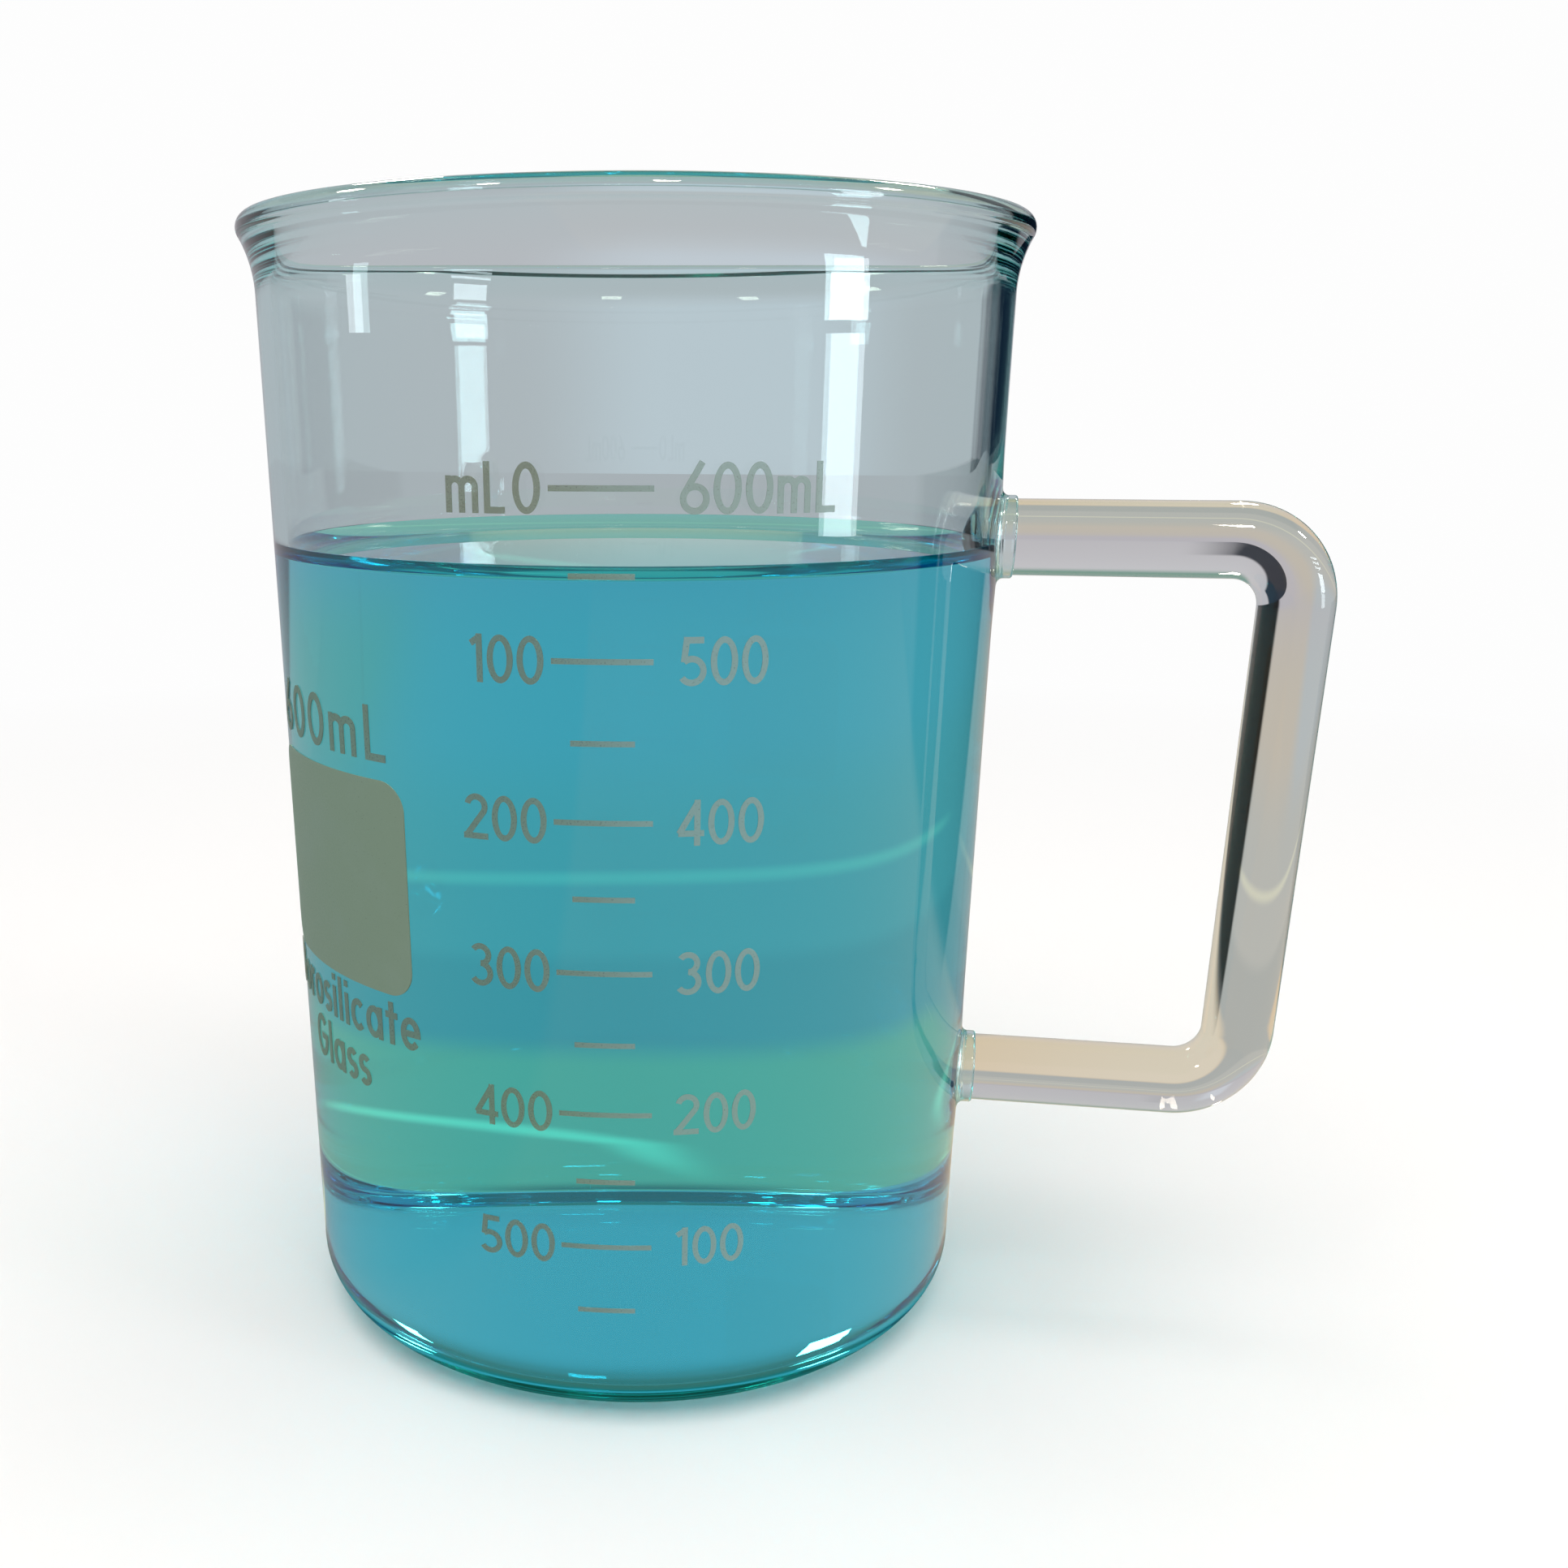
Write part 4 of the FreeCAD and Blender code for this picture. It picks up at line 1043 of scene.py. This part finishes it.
@dataclass
class Handle:
    """The glass rod bent into a handle, and the two melted collars at its welds."""

    cup: Cup
    around: int = 72
    collar_length: float = 2.0 * MM
    collar_step: float = 0.4 * MM
    weld_fillet: float = 0.8 * MM
    grading: Triple = (4.0 * MM, 0.5 * MM, 2.0 * MM)
    bend_points: int = 25
    upright_points: int = 40
    root_length: float = 8.0 * MM
    cap_rings: int = 6

    def bend(self, height: float, first_deg: float) -> np.ndarray:
        """A quarter circle of the path, clockwise about a centre inside the bend.

        Args:
            height: the centre's height.
            first_deg: the angle it starts at.

        Returns:
            N x 3 array of X, Z and heading, which is 0 outward and 90 down, in degrees.
        """
        s = self.cup.sizes
        last_deg = first_deg - 90.0
        arc = arc_points((s.upright - s.bend, height), s.bend, first_deg, last_deg,
                         self.bend_points)
        heading = 90.0 - np.linspace(first_deg, last_deg, self.bend_points)
        return np.column_stack([arc, heading])

    def path(self) -> tuple[np.ndarray, np.ndarray]:
        """Centre line of the rod and its direction, from the upper weld to the lower one.

        Two level runs, an upright and two quarter circles between them.

        Returns:
            N x 3 array of places and N x 3 array of unit directions.
        """
        s = self.cup.sizes
        high, low = s.high_arm - s.bend, s.low_arm + s.bend
        out = graded(s.wall_r, s.upright - s.bend, [s.wall_r], *self.grading)
        down = np.linspace(high, low, self.upright_points)
        level = [np.stack(np.broadcast_arrays(x, z, heading), -1)
                 for x, z, heading in ((out, s.high_arm, 0.0), (s.upright, down, 90.0),
                                       (out[::-1], s.low_arm, 180.0))]
        flat = tidy_profile([level[0], self.bend(high, 90.0), level[1], self.bend(low, 0.0),
                             level[2]])
        angle = np.radians(flat[:, 2])
        centre = np.stack([flat[:, 0], np.zeros(len(flat)), flat[:, 1]], -1)
        along = np.stack([np.cos(angle), np.zeros(len(flat)), -np.sin(angle)], -1)
        return centre, along

    def root_x(self, across: np.ndarray, height: np.ndarray) -> np.ndarray:
        """Where a piece welded to the wall starts along X, at a place across and up.

        It is the circle's half chord, what the welds have drawn out, and a hair's gap.

        Args:
            across: Y of each point.
            height: Z of each point.

        Returns:
            X at each point.
        """
        s = self.cup.sizes
        turn = np.arcsin(np.clip(across / s.wall_r, -1.0, 1.0))
        radius = np.full(across.shape, s.wall_r - WALL_RELIEF)
        for weld in self.cup.welds:
            radius = radius + weld.offset(Side.OUTSIDE, turn * s.wall_r, height)
        return np.sqrt(np.maximum(radius**2 - across**2, 0.0)) + WELD_GAP

    def build_rod(self, material: Material) -> bpy.types.Object:
        """Make the rod: a circle carried along the path, its ends shaped to the wall.

        Args:
            material: the rod's finish.

        Returns:
            The object.
        """
        s = self.cup.sizes
        centre, along = self.path()
        side = np.array([0.0, 1.0, 0.0])
        up = np.cross(along, side)
        turn = np.linspace(0.0, 2.0 * math.pi, self.around, endpoint=False)
        ring = (np.cos(turn)[None, :, None] * up[:, None, :]
                - np.sin(turn)[None, :, None] * side[None, None, :])
        points = centre[:, None, :] + s.rod_r * ring
        # The rod's first and last stretch is squeezed towards the wall it is welded to.
        root = self.root_x(points[..., 1], points[..., 2])
        near = s.wall_r + self.root_length
        share = np.clip((near - points[..., 0]) / (near - s.wall_r), 0.0, 1.0)
        points[..., 0] += share * (root - s.wall_r)
        rows, columns = points.shape[:2]
        shell = points.reshape(-1, 3)
        caps, fans, start = [], [], len(shell)
        shares = np.linspace(1.0, 0.0, self.cap_rings + 1)[1:-1, None, None]
        for row, height, flip in ((0, s.high_arm, True), (rows - 1, s.low_arm, False)):
            disc = (points[row, :, 1:] - [0.0, height])[None] * shares + [0.0, height]
            foot = self.root_x(disc[..., 0], disc[..., 1])
            cap = np.concatenate([foot[..., None], disc], -1).reshape(-1, 3)
            tip = [[float(self.root_x(np.zeros(1), np.full(1, height))[0]), 0.0, height]]
            numbers = np.concatenate([row * columns + np.arange(columns),
                                      start + np.arange(len(cap))])
            quads = numbers[grid_quads(self.cap_rings, columns)]
            fans.append((quads[:, ::-1] if flip else quads,
                         pole_fan(start + len(cap), start + len(cap) - columns, columns, flip)))
            caps += [cap, tip]
            start += len(cap) + 1
        quads = np.concatenate([grid_quads(rows, columns)] + [fan[0] for fan in fans])
        triangles = np.concatenate([fan[1] for fan in fans])
        maker = MeshMaker("glass_rod_handle", Slot.HANDLE_GLASS, ("handle_rod",))
        return maker.build(np.concatenate([shell, *caps]), quads, triangles, [material])

    def build_collar(self, name: str, node: str, height: float,
                     material: Material) -> bpy.types.Object:
        """Make a weld collar: a fillet off the wall that runs into a low round lip.

        The profile is turned about the arm's line, and its foot is laid on the wall.

        Args:
            name: the piece's name.
            node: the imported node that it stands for.
            height: height of the arm's line.
            material: its finish.

        Returns:
            The object.
        """
        s = self.cup.sizes
        lip_r = s.rod_r + self.collar_step
        fillet, length = self.weld_fillet, self.collar_length
        curve = arc_points((fillet, lip_r + fillet), fillet, 180, 270, 9)
        lip = arc_points((length - self.collar_step, s.rod_r), self.collar_step, 90, 3, 9)
        bore = s.rod_r + 0.5 * WELD_GAP
        inside = np.stack([np.linspace(length, 0.0, 8), np.full(8, bore)], -1)
        foot = np.stack([np.zeros(6), np.linspace(bore, lip_r + fillet, 6)], -1)
        profile = tidy_profile([curve, lip, inside, foot[1:-1]])
        turn = np.linspace(0.0, 2.0 * math.pi, self.around, endpoint=False)
        across = -profile[:, 1:] * np.sin(turn)[None]
        up = height + profile[:, 1:] * np.cos(turn)[None]
        share = 1.0 - profile[:, :1] / length
        x = profile[:, :1] + self.root_x(across, up) * share + s.wall_r * (1.0 - share)
        points = np.stack([x, across, up], -1)
        rows, columns = points.shape[:2]
        quads = grid_quads(rows + 1, columns) % (rows * columns)
        maker = MeshMaker(name, Slot.HANDLE_GLASS, (node,))
        return maker.build(points.reshape(-1, 3), quads, np.empty((0, 3), int), [material])


# ---------------------------------------------------------------- print


@dataclass(frozen=True)
class Print:
    """The enamel print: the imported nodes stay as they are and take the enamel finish."""

    nodes: tuple[str, ...]
    finish: EnamelFinish

    def dress(self) -> None:
        """Give every printed node the enamel."""
        material = self.finish.make()
        for name in self.nodes:
            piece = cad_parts[name]
            piece.data.materials.clear()
            piece.data.materials.append(material)
            LOG.info("%s: %s", name, self.finish.name)


# ---------------------------------------------------------------- room, lights and camera


@dataclass(frozen=True)
class SoftBox:
    """A rectangular area light that faces the beaker."""

    name: str
    azimuth: float
    elevation: float
    distance: float
    width: float
    height: float
    watts: float
    colour: Colour = (1.0, 1.0, 1.0)
    in_glass: bool = True
    on_bench: bool = True

    def place(self, target: Vector) -> bpy.types.Object:
        """Hang the light. Azimuth 0 is in front of the scale, on -Y, and 90 is on +X.

        Args:
            target: the point that it faces.

        Returns:
            The light's object.
        """
        turn, lift = math.radians(self.azimuth), math.radians(self.elevation)
        level = math.cos(lift)
        away = Vector((math.sin(turn) * level, -math.cos(turn) * level, math.sin(lift)))
        data = bpy.data.lights.new(self.name, "AREA")
        data.shape = "RECTANGLE"
        data.size, data.size_y = self.width, self.height
        data.energy = self.watts
        data.color = self.colour
        light = put_in_scene(self.name, data)
        light.location = target + away * self.distance
        light.rotation_mode = "QUATERNION"
        light.rotation_quaternion = (-away).to_track_quat("-Z", "Y")
        light.visible_camera = False
        light.visible_transmission = light.visible_glossy = self.in_glass
        light.visible_diffuse = self.on_bench
        return light


@dataclass(frozen=True)
class RoomPatch:
    """Something in the room that the glass shows: a rectangle of directions, in degrees.

    Azimuth 0 looks along +Y, away from the camera, and grows towards +X.
    """

    azimuth: Pair
    elevation: Pair
    colour: Triple
    soft: float = 1.5
    cover: float = 1.0


@dataclass(frozen=True)
class Studio:
    """Pale bench, soft room light and the lamps."""

    lamps: tuple[SoftBox, ...]
    patches: tuple[RoomPatch, ...]
    floor_half: float = 3.0
    floor_drop: float = 0.2 * MM
    light_steps: int = 160
    room_span: Pair = (-0.3, 0.9)
    room_low: Colour = (0.475, 0.455, 0.485)
    room_high: Colour = (0.56, 0.565, 0.595)
    ceiling: Colour = (0.09, 0.26, 0.21)
    ceiling_deg: float = 40.0
    ceiling_soft: float = 0.14

    def make_world(self) -> None:
        """A near-white backdrop for the camera and a soft grey room for the glass to show."""
        world = bpy.data.worlds.new("room")
        world.use_nodes = True
        nodes = NodeTree(world.node_tree, "ShaderNodeOutputWorld")
        _, east, north, up = nodes.place("Generated")
        turn = nodes.math("ARCTAN2", east, north)
        lift = nodes.math("ARCSINE", up)
        colour = nodes.mix(nodes.spread(lift, *self.room_span), self.room_low, self.room_high)
        overhead = nodes.rise(lift, math.radians(self.ceiling_deg), self.ceiling_soft)
        colour = nodes.mix(overhead, colour, self.ceiling)
        for patch in self.patches:
            soft = math.radians(patch.soft)
            inside = nodes.math("MULTIPLY",
                                nodes.band(turn, *map(math.radians, patch.azimuth), soft),
                                nodes.band(lift, *map(math.radians, patch.elevation), soft))
            colour = nodes.mix(nodes.math("MULTIPLY", inside, patch.cover), colour, patch.colour)
        room = nodes.add("ShaderNodeBackground")
        nodes.link(colour, room.inputs["Color"])
        seen = nodes.add("ShaderNodeBackground")
        seen.inputs["Color"].default_value = (*BACKDROP, 1.0)
        nodes.finish(seen.outputs["Background"], room.outputs["Background"])
        bpy.context.scene.world = world

    def make_floor(self) -> bpy.types.Object:
        """Lay a wide flat bench top just under the beaker.

        Returns:
            The bench top.
        """
        half, low = self.floor_half, -self.floor_drop
        corners = [(x * half, y * half, low) for x, y in ((-1, -1), (1, -1), (1, 1), (-1, 1))]
        mesh = bpy.data.meshes.new("bench_top")
        mesh.from_pydata(corners, [], [(0, 1, 2, 3)])
        mesh.materials.append(BenchFinish().make())
        floor = put_in_scene("bench_top", mesh)
        return floor

    def build(self, target: Vector) -> None:
        """Put up the room, the bench and the lamps.

        Args:
            target: the point that the lamps face.
        """
        self.make_world()
        self.make_floor()
        for lamp in self.lamps:
            lamp.place(target)
        scene = bpy.context.scene
        scene.view_settings.view_transform = "Standard"
        scene.cycles.max_bounces = self.light_steps
        scene.cycles.transmission_bounces = self.light_steps
        scene.cycles.glossy_bounces = self.light_steps


@dataclass(frozen=True)
class ViewPoint:
    """The camera: close to the beaker, a little to the handle's side, looking down at it."""

    turn_deg: float = 10.24
    dip_deg: float = 20.17
    plan_distance: float = 0.2100
    height: float = 0.1171
    focal_mm: float = 36.57
    sensor_mm: float = 36.0
    shift: Pair = (0.0945, 0.1343)
    clip: Pair = (0.01, 50.0)

    def place(self) -> bpy.types.Object:
        """Make the scene's camera.

        Returns:
            The camera's object.
        """
        turn = math.radians(self.turn_deg)
        data = bpy.data.cameras.new("bench_camera")
        data.lens = self.focal_mm
        data.sensor_width = self.sensor_mm
        data.shift_x, data.shift_y = self.shift
        data.clip_start, data.clip_end = self.clip
        camera = put_in_scene("bench_camera", data)
        camera.location = (self.plan_distance * math.sin(turn),
                           -self.plan_distance * math.cos(turn), self.height)
        camera.rotation_euler = Euler((math.radians(90.0 - self.dip_deg), 0.0, turn))
        bpy.context.scene.camera = camera
        return camera


# ---------------------------------------------------------------- the beaker


LETTERING = ("major_graduation_lines", "minor_graduation_lines", "rising_scale_numerals",
             "falling_scale_numerals", "scale_unit_marks", "capacity_mark", "material_mark")

PANE = (0.84, 0.95, 1.0)
WARM = (1.0, 0.90, 0.74)

LAMPS = (
    SoftBox("overhead_soft", 0.0, 80.0, 1.6, 2.2, 2.2, 40.0, (1.0, 0.87, 0.87),
            in_glass=False),
    SoftBox("window_high", 72.0, 9.8, 1.5, 0.34, 0.26, 3.4, PANE),
    SoftBox("window_low", 72.0, 0.6, 1.5, 0.30, 0.20, 1.3, PANE),
    SoftBox("side_window", -76.0, 9.0, 1.5, 0.16, 0.24, 0.6, PANE),
) + tuple(SoftBox("blind_%d" % number, 72.0, 18.0 + 3.0 * number, 1.5, 0.40, 0.035, 0.45, PANE)
          for number in range(3))

SPOTS = tuple(SoftBox("ceiling_spot_%d" % number, azimuth, elevation, 2.0, 0.20, 0.20, 13.0, WARM,
                      on_bench=False)
              for number, (azimuth, elevation) in enumerate(
                  ((-150.0, 38.0), (-95.0, 42.0), (-35.0, 40.0), (20.0, 44.0), (95.0, 40.0),
                   (160.0, 42.0))))

PATCHES = (
    # a dark cabinet to the right, behind the beaker
    RoomPatch((9.5, 42.0), (-60.0, 11.0), (0.006, 0.014, 0.030)),
    # a brighter wall straight ahead
    RoomPatch((-12.0, -1.0), (-4.0, 9.0), (0.60, 0.63, 0.69), 3.0, 0.8),
)


def main() -> None:
    """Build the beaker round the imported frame, then the room and the camera."""
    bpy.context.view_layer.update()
    sizes = BeakerSizes.from_frame()
    cup = Cup(sizes, (Weld(sizes.high_arm), Weld(sizes.low_arm)))
    clear = GlassFinish("clear_glass", GLASS_IOR, WETTED_IOR, streak=0.004 * MM,
                        volume_colour=(0.0, 0.86, 0.84), volume_density=55.0)
    cup.build(clear.make())

    liquid = Liquid(cup)
    body = GlassFinish("blue_dyed_water", 1.0, volume_colour=(0.02, 0.86, 0.967),
                       volume_density=27.5)
    liquid.build_body(body.make())
    skin = (GlassFinish("water_against_air", WATER_IOR),
            GlassFinish("water_against_water", 1.0),
            GlassFinish("water_climbing_the_wall", WATER_IOR, tint=(0.22, 0.86, 0.78)))
    liquid.build_skin([finish.make() for finish in skin])

    handle = Handle(cup)
    rod_glass = GlassFinish("handle_glass", GLASS_IOR, volume_colour=(0.55, 0.80, 0.70),
                            volume_density=4.0).make()
    handle.build_rod(rod_glass)
    weld_glass = GlassFinish("weld_glass", GLASS_IOR, volume_colour=(0.0, 0.80, 0.78),
                             volume_density=160.0).make()
    for end, height in (("upper", sizes.high_arm), ("lower", sizes.low_arm)):
        handle.build_collar(f"{end}_weld", f"{end}_weld_collar", height, weld_glass)

    # The pale colour is painted light: the lit side of the print, towards the handle. Both prints
    # use it.
    khaki, lit_pale = (0.20, 0.255, 0.175), (0.30, 0.43, 0.41)
    Print(LETTERING, EnamelFinish("lettering_enamel", khaki, lit_pale, 0.58, 0.16)).dress()
    Print(("marking_spot",), EnamelFinish("spot_enamel", (0.235, 0.355, 0.265), lit_pale, 0.93,
                                          0.06)).dress()

    Studio(LAMPS + SPOTS, PATCHES).build(Vector((0.0, 0.0, sizes.height / 2.0)))
    ViewPoint().place()


if __name__ == "__main__":
    main()
